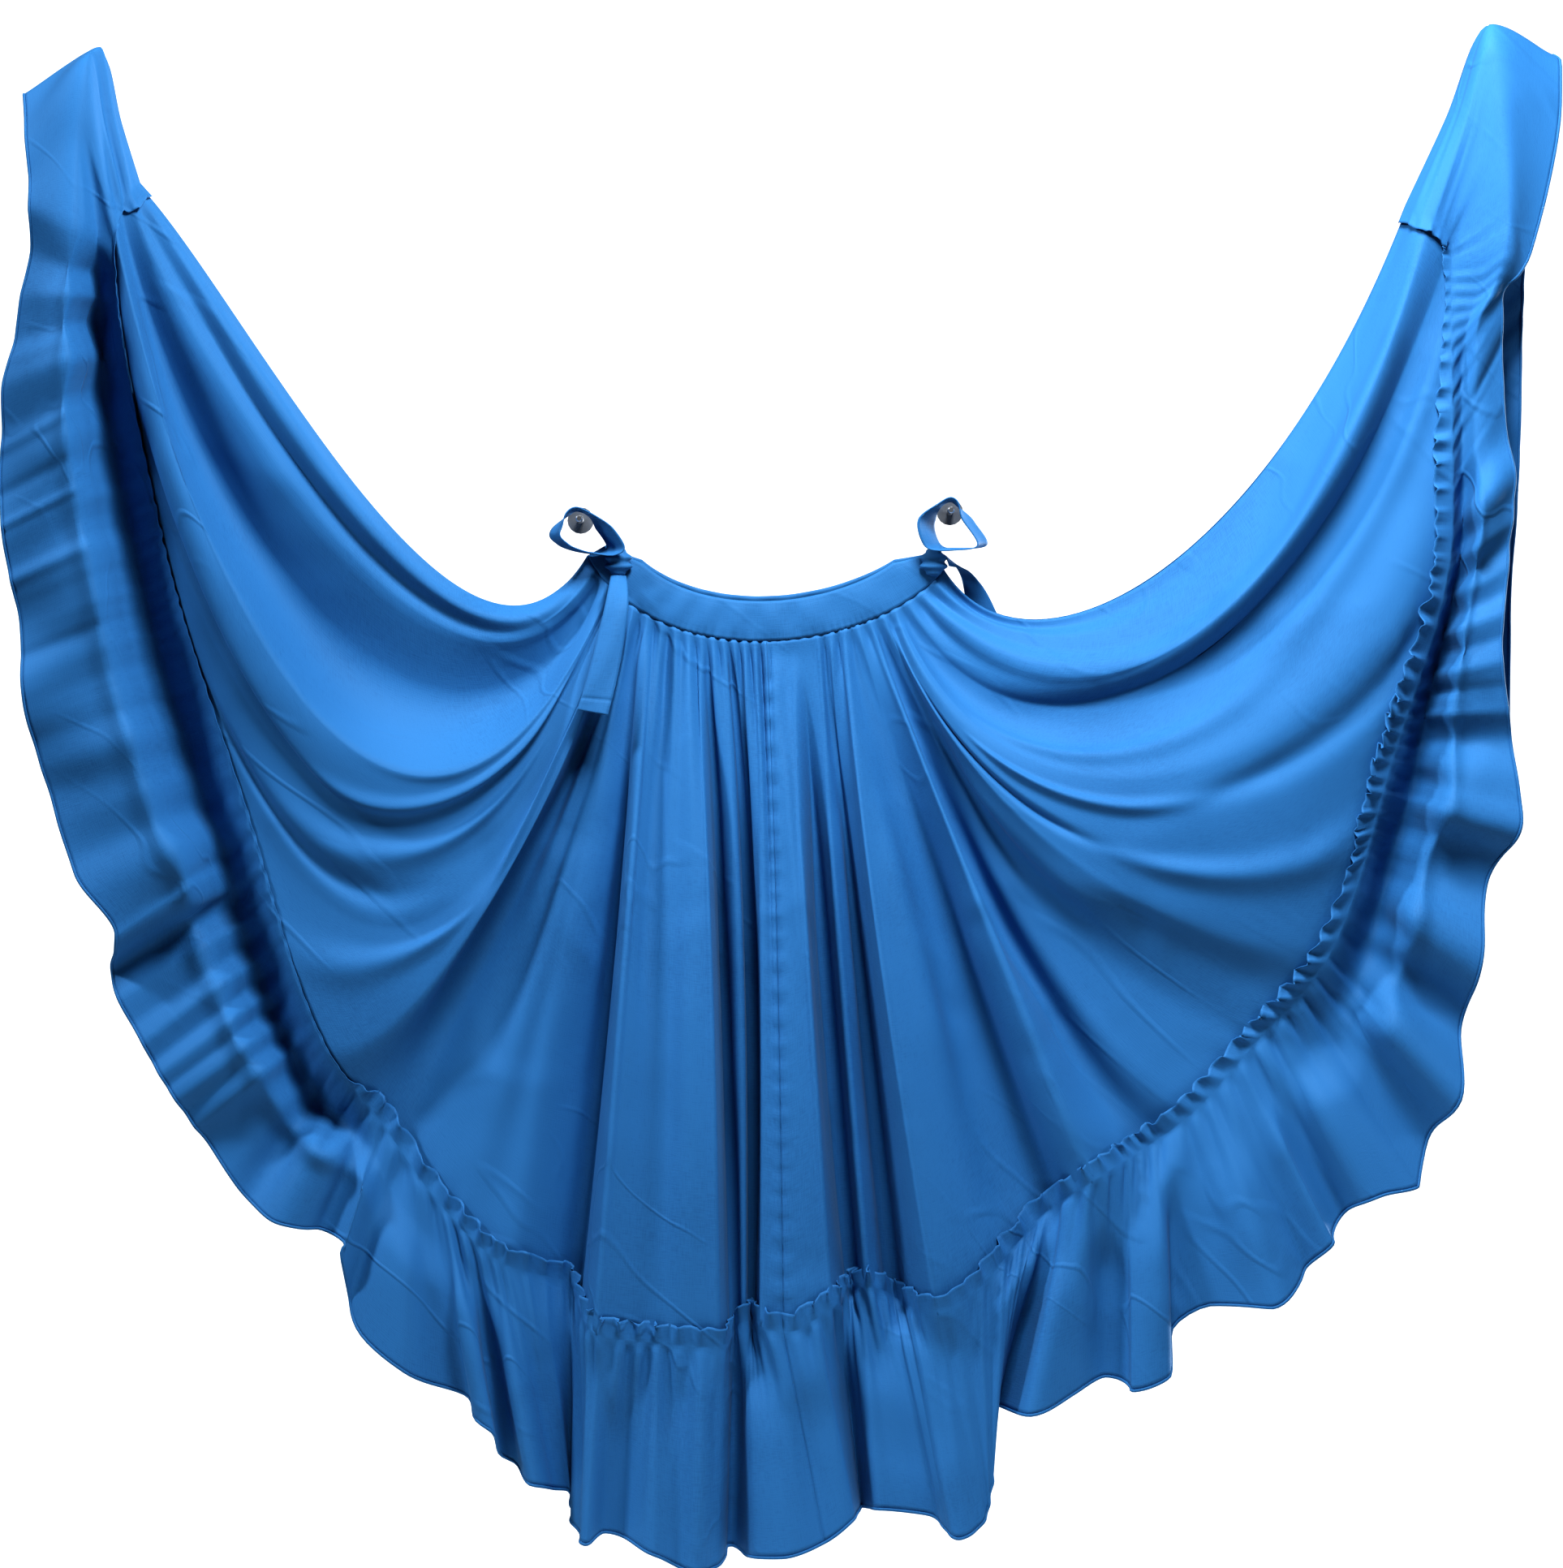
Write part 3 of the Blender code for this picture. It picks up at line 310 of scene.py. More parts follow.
def sheet_mesh(name, grid, material, thickness=SHEET_THICKNESS, round_column=False):
    """A grid of (x, out, z) points as a smooth mesh object with a UV map named cloth."""
    columns, rows = grid.shape[:2]
    flat = grid.reshape(-1, 3) * MM
    points = np.stack([flat[:, 0], -flat[:, 1], flat[:, 2]], axis=1)
    number = np.arange(columns * rows).reshape(columns, rows)
    after = np.roll(number, -1, axis=0) if round_column else number[1:]
    before = number if round_column else number[:-1]
    quads = np.stack([before[:, :-1], after[:, :-1], after[:, 1:], before[:, 1:]], axis=-1).reshape(-1, 4)
    mesh = bpy.data.meshes.new(name)
    mesh.vertices.add(len(points))
    mesh.vertices.foreach_set("co", points.ravel())
    mesh.loops.add(quads.size)
    mesh.loops.foreach_set("vertex_index", quads.ravel().astype(np.int32))
    mesh.polygons.add(len(quads))
    mesh.polygons.foreach_set("loop_start", np.arange(0, quads.size, 4, dtype=np.int32))
    mesh.update(calc_edges=True)
    uv = uv_metres(grid).reshape(-1, 2)[quads.ravel()]
    mesh.uv_layers.new(name="cloth").data.foreach_set("uv", uv.ravel())
    mesh.materials.append(material)
    mesh.shade_smooth()
    piece = bpy.data.objects.new(name, mesh)
    bpy.context.scene.collection.objects.link(piece)
    if thickness:
        solid = piece.modifiers.new("cloth thickness", "SOLIDIFY")
        solid.thickness = thickness * MM
        solid.offset = 0.0
    made[name] = len(quads)
    return piece


def put_on(piece, node):
    """The piece rides on the frame's one body and hides its CAD node."""
    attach(piece, "root")
    if node:
        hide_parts(node)
    return piece


def area_of(grid):
    """Area of a grid in square metres, as two triangles for each cell."""
    a, b, c, d = grid[:-1, :-1], grid[1:, :-1], grid[1:, 1:], grid[:-1, 1:]
    first = np.linalg.norm(np.cross(b - a, c - a), axis=-1)
    second = np.linalg.norm(np.cross(c - a, d - a), axis=-1)
    return float((first + second).sum() / 2) * MM**2


def tube_along(name, path, radius, material, sides=6):
    """A thin roll of cloth along a path: a circle carried in the plane square to the path."""
    tangent = unit(np.gradient(path, axis=0))
    side = unit(np.cross(tangent, np.array([0.0, 1.0, 0.3])))
    up = np.cross(side, tangent)
    turn = np.linspace(0.0, 2 * np.pi, sides, endpoint=False)
    ring = path[None] + radius * (np.cos(turn)[:, None, None] * side + np.sin(turn)[:, None, None] * up)
    return sheet_mesh(name, ring[::-1], material, thickness=0.0, round_column=True)


# %% [markdown]
# ## Where the folds hang
# The tables name every fold of the skirt: the swags that sag between the ties and the hitched
# corners, the plumb pleats of the centre, and the lobes of the ruffle's hem. They are the same
# values that the CAD walls were made from, so that each sheet lies on its wall. Each fold line has
# four pull points, and a depth at its knee, half way down, and at the ruffle seam. A hem row says at
# which fold it is, counted from 0 at the left, where its hem point lies, and three depths.

# %% Waist and fold tables
PANEL_CUT_LENGTH = 730.0
BAND_HEIGHT = 42.0
BAND_END_HEIGHT = 25.0
BAND_LEAN = 3.0
HEADER_STAND = 5.0
STITCH_STAND = 3.0
GRAZING_FOLDS = (0.6, 0.9)
GATHERS_FADE = 60.0
BACK_STAND_SHARE = 0.4
BACK_HEADER_SHARE = 0.7
WAIST_FLAT = 0.02
WAIST_CURVE = ((-189.0, -43.0), (-120.0, -172.0), (110.0, -150.0), (187.0, -58.0))
FRONT_WAIST_OUT = (34.0, 44.0)
BACK_WAIST_OUT = (25.0, 13.0)
BACK_WAIST_RISE = 6.0

SWAG_COLUMNS = ("fold", "x0", "x1", "z1", "x2", "z2", "x3", "z3", "knee_out", "seam_out")
LEFT_SWAGS = (
    ("side_fold", -189, -319, -258, -554, 236, -663, 348, 34, 40),
    ("roll", -185, -321, -283, -562, 211, -666, 343, 76, 56),
    ("roll_valley", -181, -322, -300, -580, 180, -669, 339, 58, 62),
    ("crease", -176, -322, -313, -606, 150, -671, 334, 72, 68),
    ("wide_valley", -170, -340, -398, -612, -15, -678, 321, 44, 72),
    ("swag_crest", -164, -354, -516, -577, -162, -683, 295, 118, 88),
    ("swag_under", -159, -328, -478, -506, -366, -641, 10, 96, 78),
    ("left_edge_low", -154, -312, -523, -425, -487, -550, -300, 88, 80),
    ("left_corner", -149, -239, -373, -377, -573, -463, -559, 94, 92),
    ("long_valley", -146, -190, -300, -323, -483, -402, -644, 50, 68),
    ("left_flat", -142, -186, -330, -284, -525, -340, -728, 62, 80),
    ("left_ridge", -137, -178, -321, -246, -559, -272, -789, 74, 90),
)
PLEAT_COLUMNS = ("fold", "x_waist", "x_third", "x_seam", "z_seam", "knee_out", "seam_out")
CENTRE_PLEATS = (
    ("deep_valley", -130, -150, -208, -810, 52, 60),
    ("front_pleat_edge", -120, -138, -176, -858, 122, 132),
    ("front_pleat_dip", -96, -102, -123, -867, 106, 118),
    ("front_pleat_end", -74, -58, -52, -872, 120, 122),
    ("valley_a", -64, -43, -33, -857, 56, 91),
    ("narrow_ridge", -51, -26, -24, -847, 88, 100),
    ("valley_b", -38, -12, -15, -842, 52, 78),
    ("seam_pleat_edge", -17, 1, -4, -850, 98, 114),
    ("centre_seam", 0, 11, 18, -857, 104, 120),
    ("seam_pleat_end", 25, 35, 66, -832, 106, 114),
    ("valley_c", 38, 50, 90, -814, 52, 70),
    ("inner_ridge", 51, 68, 106, -811, 82, 96),
    ("valley_d", 64, 86, 134, -823, 52, 68),
    ("right_pleat_edge", 80, 100, 179, -836, 118, 134),
    ("valley_e", 95, 156, 294, -734, 54, 72),
    ("right_ridge", 105, 183, 340, -700, 106, 116),
)
RIGHT_SWAGS = (
    ("right_valley", 113, 170, -290, 312, -580, 402, -663, 60, 78),
    ("dark_flank_a", 118, 188, -280, 304, -530, 447, -629, 68, 84),
    ("dark_flank_b", 122, 198, -280, 338, -505, 510, -559, 72, 82),
    ("big_swag_crest", 126, 204, -321, 404, -453, 591, -459, 112, 98),
    ("big_swag_mid", 131, 217, -364, 523, -423, 652, -266, 116, 100),
    ("big_swag_top", 137, 221, -355, 566, -355, 717, -7, 118, 98),
    ("upper_valley", 146, 250, -300, 549, -232, 719, 282, 76, 72),
    ("upper_swag", 158, 276, -246, 544, -225, 697, 309, 104, 80),
    ("right_roll_valley", 170, 263, -185, 543, -216, 686, 316, 78, 72),
    ("right_side_fold", 187, 270, -190, 523, -76, 676, 325, 36, 42),
)
# name of the front fold that it follows, depth at the knee, depth at the seam
BACK_FOLDS = (
    ("side_fold", 20, 26),
    ("roll_valley", 18, 21),
    ("wide_valley", 22, 16),
    ("swag_crest", 15, 18),
    ("swag_under", 26, 28),
    ("left_edge_low", 20, 22),
    ("left_corner", 15, 17),
    ("left_flat", 26, 30),
    ("front_pleat_edge", 14, 16),
    ("front_pleat_end", 28, 34),
    ("valley_b", 14, 16),
    ("centre_seam", 20, 25),
    ("valley_c", 26, 34),
    ("right_pleat_edge", 14, 16),
    ("right_ridge", 26, 32),
    ("dark_flank_b", 15, 17),
    ("big_swag_crest", 25, 28),
    ("big_swag_mid", 15, 17),
    ("big_swag_top", 24, 26),
    ("upper_valley", 16, 18),
    ("right_roll_valley", 16, 18),
    ("right_side_fold", 20, 27),
)
print(len(LEFT_SWAGS), "left swags,", len(CENTRE_PLEATS), "pleats,", len(RIGHT_SWAGS), "right swags")

# %% Hem tables
HEM_COLUMNS = ("at", "x", "z", "tuck_out", "crest_out", "hem_out")
FRONT_HEM = (
    (5.08, -769, 314, 84, 112, 92),
    (5.30, -788, 189, 56, 122, 88),
    (5.60, -803, 61, 50, 128, 86),
    (5.90, -798, -31, 50, 116, 96),
    (6.20, -782, -113, 52, 122, 86),
    (6.45, -777, -194, 50, 110, 104),
    (6.75, -754, -280, 50, 118, 86),
    (7.00, -722, -379, 54, 118, 104),
    (7.18, -679, -442, 56, 112, 116),
    (7.34, -686, -486, 50, 74, 76),
    (7.55, -653, -555, 54, 86, 88),
    (7.75, -626, -602, 58, 110, 104),
    (7.95, -592, -649, 60, 98, 82),
    (8.20, -548, -712, 60, 76, 92),
    (8.50, -510, -743, 66, 104, 108),
    (8.80, -467, -750, 70, 84, 84),
    (9.00, -441, -767, 76, 110, 116),
    (9.25, -436, -830, 76, 86, 86),
    (9.60, -378, -898, 82, 106, 112),
    (9.90, -312, -926, 86, 94, 88),
    (10.20, -287, -960, 90, 110, 114),
    (10.50, -266, -993, 90, 84, 86),
    (10.80, -240, -1017, 96, 104, 106),
    (11.40, -208, -1025, 88, 82, 78),
    (12.00, -204, -1044, 72, 70, 76),
    (13.00, -188, -1076, 128, 130, 136),
    (13.40, -169, -1065, 124, 114, 114),
    (14.20, -113, -1088, 120, 128, 138),
    (14.80, -72, -1105, 128, 134, 136),
    (15.20, -53, -1100, 118, 120, 122),
    (16.00, -38, -1082, 86, 82, 82),
    (17.00, -22, -1090, 102, 116, 114),
    (18.60, 17, -1089, 112, 130, 142),
    (20.00, 62, -1074, 126, 124, 130),
    (20.60, 91, -1051, 124, 120, 118),
    (21.30, 99, -1042, 88, 70, 74),
    (22.30, 119, -1041, 98, 110, 116),
    (23.40, 171, -1047, 98, 112, 116),
    (24.60, 200, -1069, 126, 134, 146),
    (25.20, 229, -1049, 122, 124, 126),
    (25.80, 235, -988, 110, 112, 112),
    (26.10, 240, -935, 90, 78, 76),
    (26.50, 274, -942, 104, 120, 130),
    (26.90, 317, -921, 110, 106, 104),
    (27.20, 355, -904, 108, 92, 92),
    (27.70, 383, -917, 102, 116, 122),
    (28.10, 414, -903, 98, 110, 108),
    (28.40, 423, -857, 96, 88, 88),
    (28.70, 465, -829, 96, 102, 104),
    (29.10, 527, -830, 98, 118, 128),
    (29.50, 564, -790, 94, 96, 94),
    (29.80, 593, -762, 92, 112, 116),
    (30.05, 605, -733, 90, 88, 88),
    (30.30, 642, -714, 86, 106, 110),
    (30.55, 683, -703, 80, 100, 112),
    (30.70, 694, -653, 76, 86, 86),
    (30.95, 725, -610, 72, 118, 120),
    (31.10, 727, -541, 68, 94, 92),
    (31.35, 744, -479, 64, 120, 120),
    (31.60, 754, -389, 62, 98, 96),
    (31.90, 788, -320, 62, 122, 118),
    (32.15, 778, -228, 66, 98, 98),
    (32.40, 768, -143, 70, 112, 110),
    (32.65, 776, -58, 74, 92, 88),
    (32.90, 783, 27, 78, 110, 84),
    (33.15, 772, 129, 80, 84, 74),
    (33.50, 771, 223, 78, 90, 80),
)
HEADER_SHARE = ((0.0, 1.0), (2.8, 1.0), (4.0, 0.15), (8.4, 0.15), (8.8, 1.0), (33.2, 1.0), (33.8, 0.3),
                (37.0, 1.0))
HITCH_COLUMNS = ("at", "peg_x", "peg_z", "peg_out", "x", "z", "hem_out")
LEFT_HITCH = (
    (0.0, -699, 480, 26, -748, 380, 20),
    (1.2, -700, 488, 36, -766, 398, 28),
    (2.4, -702, 492, 48, -779, 426, 40),
    (3.4, -708, 490, 60, -783, 444, 54),
    (4.2, -714, 478, 74, -778, 414, 68),
    (4.8, -722, 420, 92, -772, 366, 82),
)
RIGHT_HITCH = (
    (34.0, 778, 330, 96, 800, 268, 84),
    (34.5, 768, 452, 82, 822, 352, 70),
    (35.0, 764, 498, 68, 834, 432, 56),
    (35.6, 763, 515, 54, 836, 478, 42),
    (36.3, 760, 516, 40, 830, 486, 30),
    (37.0, 756, 508, 28, 820, 470, 22),
)
BACK_HEM = (
    (0.00, -772, 288, 22, 20, 18),
    (2.00, -778, 264, 18, 14, 12),
    (4.00, -784, 216, 15, 18, 18),
    (5.20, -788, 150, 18, 22, 22),
    (5.60, -790, 60, 20, 16, 14),
    (6.10, -776, -70, 26, 32, 30),
    (6.60, -752, -240, 24, 16, 14),
    (7.20, -690, -400, 20, 34, 32),
    (7.80, -612, -580, 18, 16, 14),
    (8.40, -520, -700, 20, 34, 34),
    (9.10, -436, -770, 22, 16, 14),
    (9.80, -330, -880, 28, 36, 36),
    (10.70, -250, -960, 26, 16, 14),
    (12.20, -190, -1020, 20, 36, 38),
    (13.60, -120, -1050, 20, 16, 14),
    (15.00, -60, -1060, 34, 40, 40),
    (17.00, -20, -1050, 22, 16, 14),
    (20.00, 40, -1050, 32, 38, 40),
    (21.80, 100, -1010, 18, 16, 14),
    (24.00, 170, -1010, 26, 38, 40),
    (25.60, 215, -970, 30, 16, 14),
    (26.60, 290, -890, 20, 36, 36),
    (28.00, 400, -850, 18, 16, 14),
    (29.20, 510, -790, 24, 36, 36),
    (30.10, 610, -700, 26, 16, 14),
    (30.90, 700, -590, 22, 34, 34),
    (31.50, 745, -430, 18, 16, 14),
    (32.10, 782, -250, 18, 32, 32),
    (32.60, 786, -90, 20, 16, 14),
    (33.00, 794, 60, 22, 28, 26),
    (33.40, 798, 200, 24, 18, 14),
    (33.80, 800, 280, 26, 30, 24),
    (34.60, 799, 304, 22, 20, 16),
    (36.00, 794, 332, 20, 22, 20),
    (37.00, 782, 352, 23, 18, 14),
)
RUFFLE_KEYS = (0.0, 0.22, 0.5, 1.0)
print(len(FRONT_HEM) + len(BACK_HEM), "hem rows")

# %% Fold lines
def waist_height(x):
    """Height of the waist seam at a given x."""
    curve = pulled_curve(*WAIST_CURVE, np.linspace(0.0, 1.0, 400))
    return np.interp(x, curve[:, 0], curve[:, 1])


def waist_share(x):
    """Share of the way along the waist seam, from 0 at the left tie to 1 at the right one."""
    return (x - WAIST_CURVE[0][0]) / (WAIST_CURVE[-1][0] - WAIST_CURVE[0][0])


def waist_bow(x):
    """1 less the fourth power of the share, from -1 to 1: it falls to 0 only near the ties."""
    return 1.0 - (2.0 * waist_share(x) - 1.0) ** 4


def waist_out(x, ends_and_middle):
    """How far a half of the waistband stands out from the wall at a given x."""
    ends, middle = ends_and_middle
    return ends + (middle - ends) * waist_bow(x)


def stand_out(top_out, knee_out, seam_out, share):
    """Plumb just under the band, then a parabola through the knee at half way and the seam."""
    s = np.clip((np.asarray(share) - WAIST_FLAT) / (1.0 - WAIST_FLAT), 0.0, 1.0)
    at_start = 2.0 * (s - 0.5) * (s - 1.0)
    at_knee = -4.0 * s * (s - 1.0)
    at_end = 2.0 * s * (s - 0.5)
    return top_out * at_start + knee_out * at_knee + seam_out * at_end


def swag_points(fold):
    """Pull points (x, z) of a swag's fold line."""
    points = [(fold["x0"], float(waist_height(fold["x0"])))]
    return points + [(fold["x%d" % i], fold["z%d" % i]) for i in (1, 2, 3)]


def pleat_points(fold):
    """Pull points (x, z) of a plumb pleat: almost straight down."""
    top = float(waist_height(fold["x_waist"]))
    fall = fold["z_seam"] - top
    x_low = (fold["x_third"] + fold["x_seam"]) / 2
    return [(fold["x_waist"], top), (fold["x_third"], top + fall / 3),
            (x_low, top + 2 * fall / 3), (fold["x_seam"], fold["z_seam"])]


def fold_routes():
    """Name, pull points and depths of every front fold, from the left side to the right one."""
    routes = []
    for table, columns, points_of in ((LEFT_SWAGS, SWAG_COLUMNS, swag_points),
                                      (CENTRE_PLEATS, PLEAT_COLUMNS, pleat_points),
                                      (RIGHT_SWAGS, SWAG_COLUMNS, swag_points)):
        for row in table:
            fold = dict(zip(columns, row))
            routes.append({"name": fold["fold"], "points": points_of(fold),
                           "knee": fold["knee_out"], "seam": fold["seam_out"]})
    return routes


def front_fold_lines(routes, rows):
    """Points (x, out, z) of every front fold at the given rows."""
    lines = []
    for route in routes:
        flat = pulled_curve(*route["points"], rows, PANEL_CUT_LENGTH)
        top_out = waist_out(route["points"][0][0], FRONT_WAIST_OUT)
        out = stand_out(top_out, route["knee"], route["seam"], rows)
        lines.append(np.stack([flat[:, 0], out, flat[:, 1]], axis=1))
    return np.array(lines)


def back_fold_lines(routes, rows):
    """Points (x, out, z) of the back folds, on the routes of the front folds they follow."""
    by_name = {route["name"]: route for route in routes}
    lines = []
    for name, knee, seam in BACK_FOLDS:
        points = by_name[name]["points"]
        flat = pulled_curve(*points, rows, PANEL_CUT_LENGTH)
        x = points[0][0]
        lift = BACK_WAIST_RISE * waist_bow(x) * (1.0 - np.asarray(rows))
        out = stand_out(waist_out(x, BACK_WAIST_OUT), knee, seam, rows)
        lines.append(np.stack([flat[:, 0], out, flat[:, 1] + lift], axis=1))
    return np.array(lines)


def seam_marks(lines):
    """Length along the seam at each fold line."""
    gaps = np.linalg.norm(np.diff(lines[:, -1], axis=0), axis=1)
    return np.concatenate([[0.0], np.cumsum(gaps)])


def loft(marks, lines, places):
    """Smooth wall through the fold lines, one column for each place."""
    rows = [smooth_through(marks, lines[:, j], places) for j in range(lines.shape[1])]
    return np.stack(rows, axis=1)


def hem_keys(table, panel, panel_places, place_at):
    """Tuck, crest and hem points of the ruffle below each row of a hem table."""
    keys = []
    for row in table:
        hem = dict(zip(HEM_COLUMNS, row))
        place = np.interp(hem["at"], *place_at)
        seam = along(panel_places, panel[:, -1], np.array([place]))[0]
        end = np.array([hem["x"], hem["hem_out"], hem["z"]], float)
        tuck = seam + (end - seam) * RUFFLE_KEYS[1]
        crest = seam + (end - seam) * RUFFLE_KEYS[2]
        tuck[1] = hem["tuck_out"]
        crest[1] = hem["crest_out"]
        keys.append((place, (tuck, crest, end)))
    return keys


def hitch_keys(table, panel, panel_places, place_at):
    """The same three points where the ruffle is hitched up over a peg."""
    keys = []
    for row in table:
        hitch = dict(zip(HITCH_COLUMNS, row))
        place = np.interp(hitch["at"], *place_at)
        seam = along(panel_places, panel[:, -1], np.array([place]))[0]
        top = np.array([hitch["peg_x"], hitch["peg_out"], hitch["peg_z"]], float)
        end = np.array([hitch["x"], hitch["hem_out"], hitch["z"]], float)
        keys.append((place, ((seam + top) / 2, top, end)))
    return keys


routes = fold_routes()
names = [route["name"] for route in routes]
print(len(routes), "front folds")

# %% [markdown]
# ## The front panels
# The panel is one smooth surface through all the fold lines. On top of that go the finer forms that
# hands and gravity leave in such cloth: tight gathers under the waistband that fade out, long
# soft creases between the main folds, and sharp edges on the pleats. Each crease is a row of a
# table: the fold where it is, the shares of the fall where it starts and ends, how many folds it
# drifts sideways, its depth (below 0 is a trough) and its width.

# %% Crease table
CREASE_COLUMNS = ("at", "start", "end", "drift", "depth", "width")
FRONT_CREASES = (
    (1.4, 0.25, 0.80, 0.2, 3, 12),
    (2.6, 0.30, 0.95, -0.2, 4, 16),
    (3.5, 0.10, 0.60, 0.3, -6, 26),
    (4.3, 0.15, 0.75, 0.3, 8, 34),
    (4.7, 0.30, 0.95, -0.2, -7, 30),
    (5.3, 0.10, 0.60, 0.3, 7, 34),
    (5.6, 0.45, 1.05, 0.1, -9, 36),
    (6.3, 0.20, 0.80, 0.2, 7, 38),
    (6.7, 0.50, 1.05, -0.1, -6, 32),
    (7.4, 0.15, 0.55, 0.3, 6, 36),
    (7.6, 0.55, 1.05, 0.0, 7, 30),
    (8.5, 0.30, 0.90, 0.2, -7, 34),
    (9.1, 0.20, 1.30, 0.2, -9, 30),
    (9.5, 0.10, 0.60, 0.2, 6, 28),
    (10.4, 0.25, 0.95, 0.1, 8, 36),
    (10.8, 0.50, 1.05, -0.1, -6, 28),
    (11.5, 0.15, 0.70, 0.1, 6, 30),
    (12.1, 0.12, 1.40, 0.0, -11, 17),
    (12.98, 0.05, 1.30, 0.0, 4.5, 6),
    (13.4, 0.10, 0.60, 0.2, -5, 15),
    (14.5, 0.35, 1.05, 0.0, 6, 17),
    (15.0, 0.10, 1.30, 0.0, 3.5, 6),
    (16.0, 0.15, 1.40, 0.0, -7, 8),
    (16.5, 0.20, 0.80, 0.1, 3, 10),
    (17.0, 0.10, 1.20, 0.0, 3, 5),
    (18.0, 0.12, 1.40, 0.0, -8, 8),
    (18.4, 0.30, 0.95, 0.0, -3, 10),
    (19.0, 0.08, 1.30, 0.0, 4, 5),
    (20.5, 0.10, 0.55, 0.3, 4, 13),
    (21.0, 0.12, 1.30, 0.0, 3.5, 5),
    (21.5, 0.25, 1.05, 0.1, -4, 14),
    (22.0, 0.10, 1.40, 0.0, -10, 10),
    (23.0, 0.10, 1.20, 0.0, 3, 6),
    (24.0, 0.15, 1.40, 0.0, -10, 12),
    (23.5, 0.15, 0.70, 0.0, 3, 10),
    (25.0, 0.06, 1.30, 0.0, 4.5, 6),
    (25.4, 0.20, 0.80, 0.2, 7, 28),
    (25.7, 0.45, 1.05, 0.0, -6, 24),
    (26.1, 0.20, 1.40, 0.0, -8, 24),
    (26.4, 0.35, 1.05, 0.1, 7, 30),
    (27.0, 0.10, 1.30, 0.0, 3.5, 9),
    (27.5, 0.20, 0.70, 0.2, -7, 28),
    (28.1, 0.15, 1.30, 0.2, -9, 24),
    (28.5, 0.30, 1.05, 0.0, 6, 28),
    (29.5, 0.15, 0.60, 0.2, -5, 24),
    (30.35, 0.20, 0.70, 0.2, 8, 34),
    (30.7, 0.55, 1.05, -0.1, -7, 32),
    (31.35, 0.10, 0.55, 0.3, -7, 36),
    (31.6, 0.50, 1.05, 0.1, 8, 38),
    (32.3, 0.20, 0.60, 0.3, 7, 36),
    (32.7, 0.50, 1.05, 0.0, -8, 42),
    (33.3, 0.15, 0.70, 0.2, 6, 34),
    (33.6, 0.45, 1.05, 0.1, 8, 38),
    (34.4, 0.30, 0.90, 0.1, 7, 34),
    (35.4, 0.20, 0.70, 0.2, -6, 30),
)
print(len(FRONT_CREASES), "creases on the front")

# %% Finer forms
GATHER_DEPTH = 6.2
GATHER_PITCH = 13.0
GATHER_REACH = 0.26
LONG_GATHER_PITCH = 29.0
LONG_GATHER_DEPTH = 5.0
LONG_GATHER_REACH = 0.45
FLAT_PIECE = (6.0, 50.0)
FLAT_PIECE_EDGE = 6.0
NO_FLAT_PIECE = (900.0, 901.0)


def smoothed(normal, rounds):
    """Normals averaged with their neighbouring columns, 1 : 2 : 1, a number of times."""
    for _ in range(rounds):
        padded = np.concatenate([normal[:1], normal, normal[-1:]])
        normal = unit(padded[:-2] + 2 * padded[1:-1] + padded[2:])
    return normal


def fold_normals(grid, rounds=2):
    """Outward normals of a sheet, smoothed across it so that fine forms stand square."""
    return smoothed(unit(np.cross(np.gradient(grid, axis=0), np.gradient(grid, axis=1))), rounds)


def creases(table, places, marks_at, shares):
    """Sum of ridges and troughs: a depth times a bell across the folds, faded in and out down them."""
    total = np.zeros((len(places), len(shares)))
    for row in table:
        crease = dict(zip(CREASE_COLUMNS, row))
        length = crease["end"] - crease["start"]
        way = (shares - crease["start"]) / length
        middle = np.interp(crease["at"] + crease["drift"] * np.clip(way, 0, 1), *marks_at)
        fade = rise(way, 0.0, 0.3) * (1 - rise(way, 0.65, 1.0))
        total += crease["depth"] * fade[None] * bell(places[:, None], middle[None], crease["width"])
    return total


def waist_gathers(grid, shares, flat_piece=FLAT_PIECE):
    """Tight gathers under the band: a wave along the waist that fades down the cloth.

    A second, longer wave reaches further down. Over the flat piece, which is two values of x, the
    tight wave is left out, as it is beside the centre seam."""
    x = grid[:, 0, 0]
    start, end = flat_piece
    gathered = 1 - rise(x, start - FLAT_PIECE_EDGE, start) * (1 - rise(x, end, end + FLAT_PIECE_EDGE))
    wave = crisp(uneven_wave(x, GATHER_PITCH, 0.7, 0.35)) * gathered
    reach = GATHER_REACH * (0.75 + 0.5 * np.abs(np.sin(1.9 * x / GATHER_PITCH)))
    fade = np.exp(-shares[None] / reach[:, None]) * rise(shares, -0.01, 0.03)[None]
    long = uneven_wave(x, LONG_GATHER_PITCH, 2.9, 0.6)[:, None]
    long = long * np.exp(-shares[None] / LONG_GATHER_REACH) * rise(shares, 0, 0.08)[None]
    return GATHER_DEPTH * wave[:, None] * fade + LONG_GATHER_DEPTH * long


# %% Panel surfaces
COLUMN_STEP = 7.0
WAIST_STEP = 1.2
FRONT_SHARES = np.linspace(0.0, 1.0, 96) ** 1.15
SEAM_PUCKER = 1.6
SEAM_PUCKER_PITCH = 26.0
SEAM_DIP = 2.2


def fine_places(marks, step, lines):
    """Places along the seam: every fold's own mark, with columns between that suit seam and waist."""
    waist = np.abs(np.diff(lines[:, 0, 0])) / WAIST_STEP
    parts = [np.linspace(a, b, max(4, round((b - a) / step), round(count)), endpoint=False)
             for a, b, count in zip(marks[:-1], marks[1:], waist)]
    return np.concatenate([*parts, marks[-1:]])


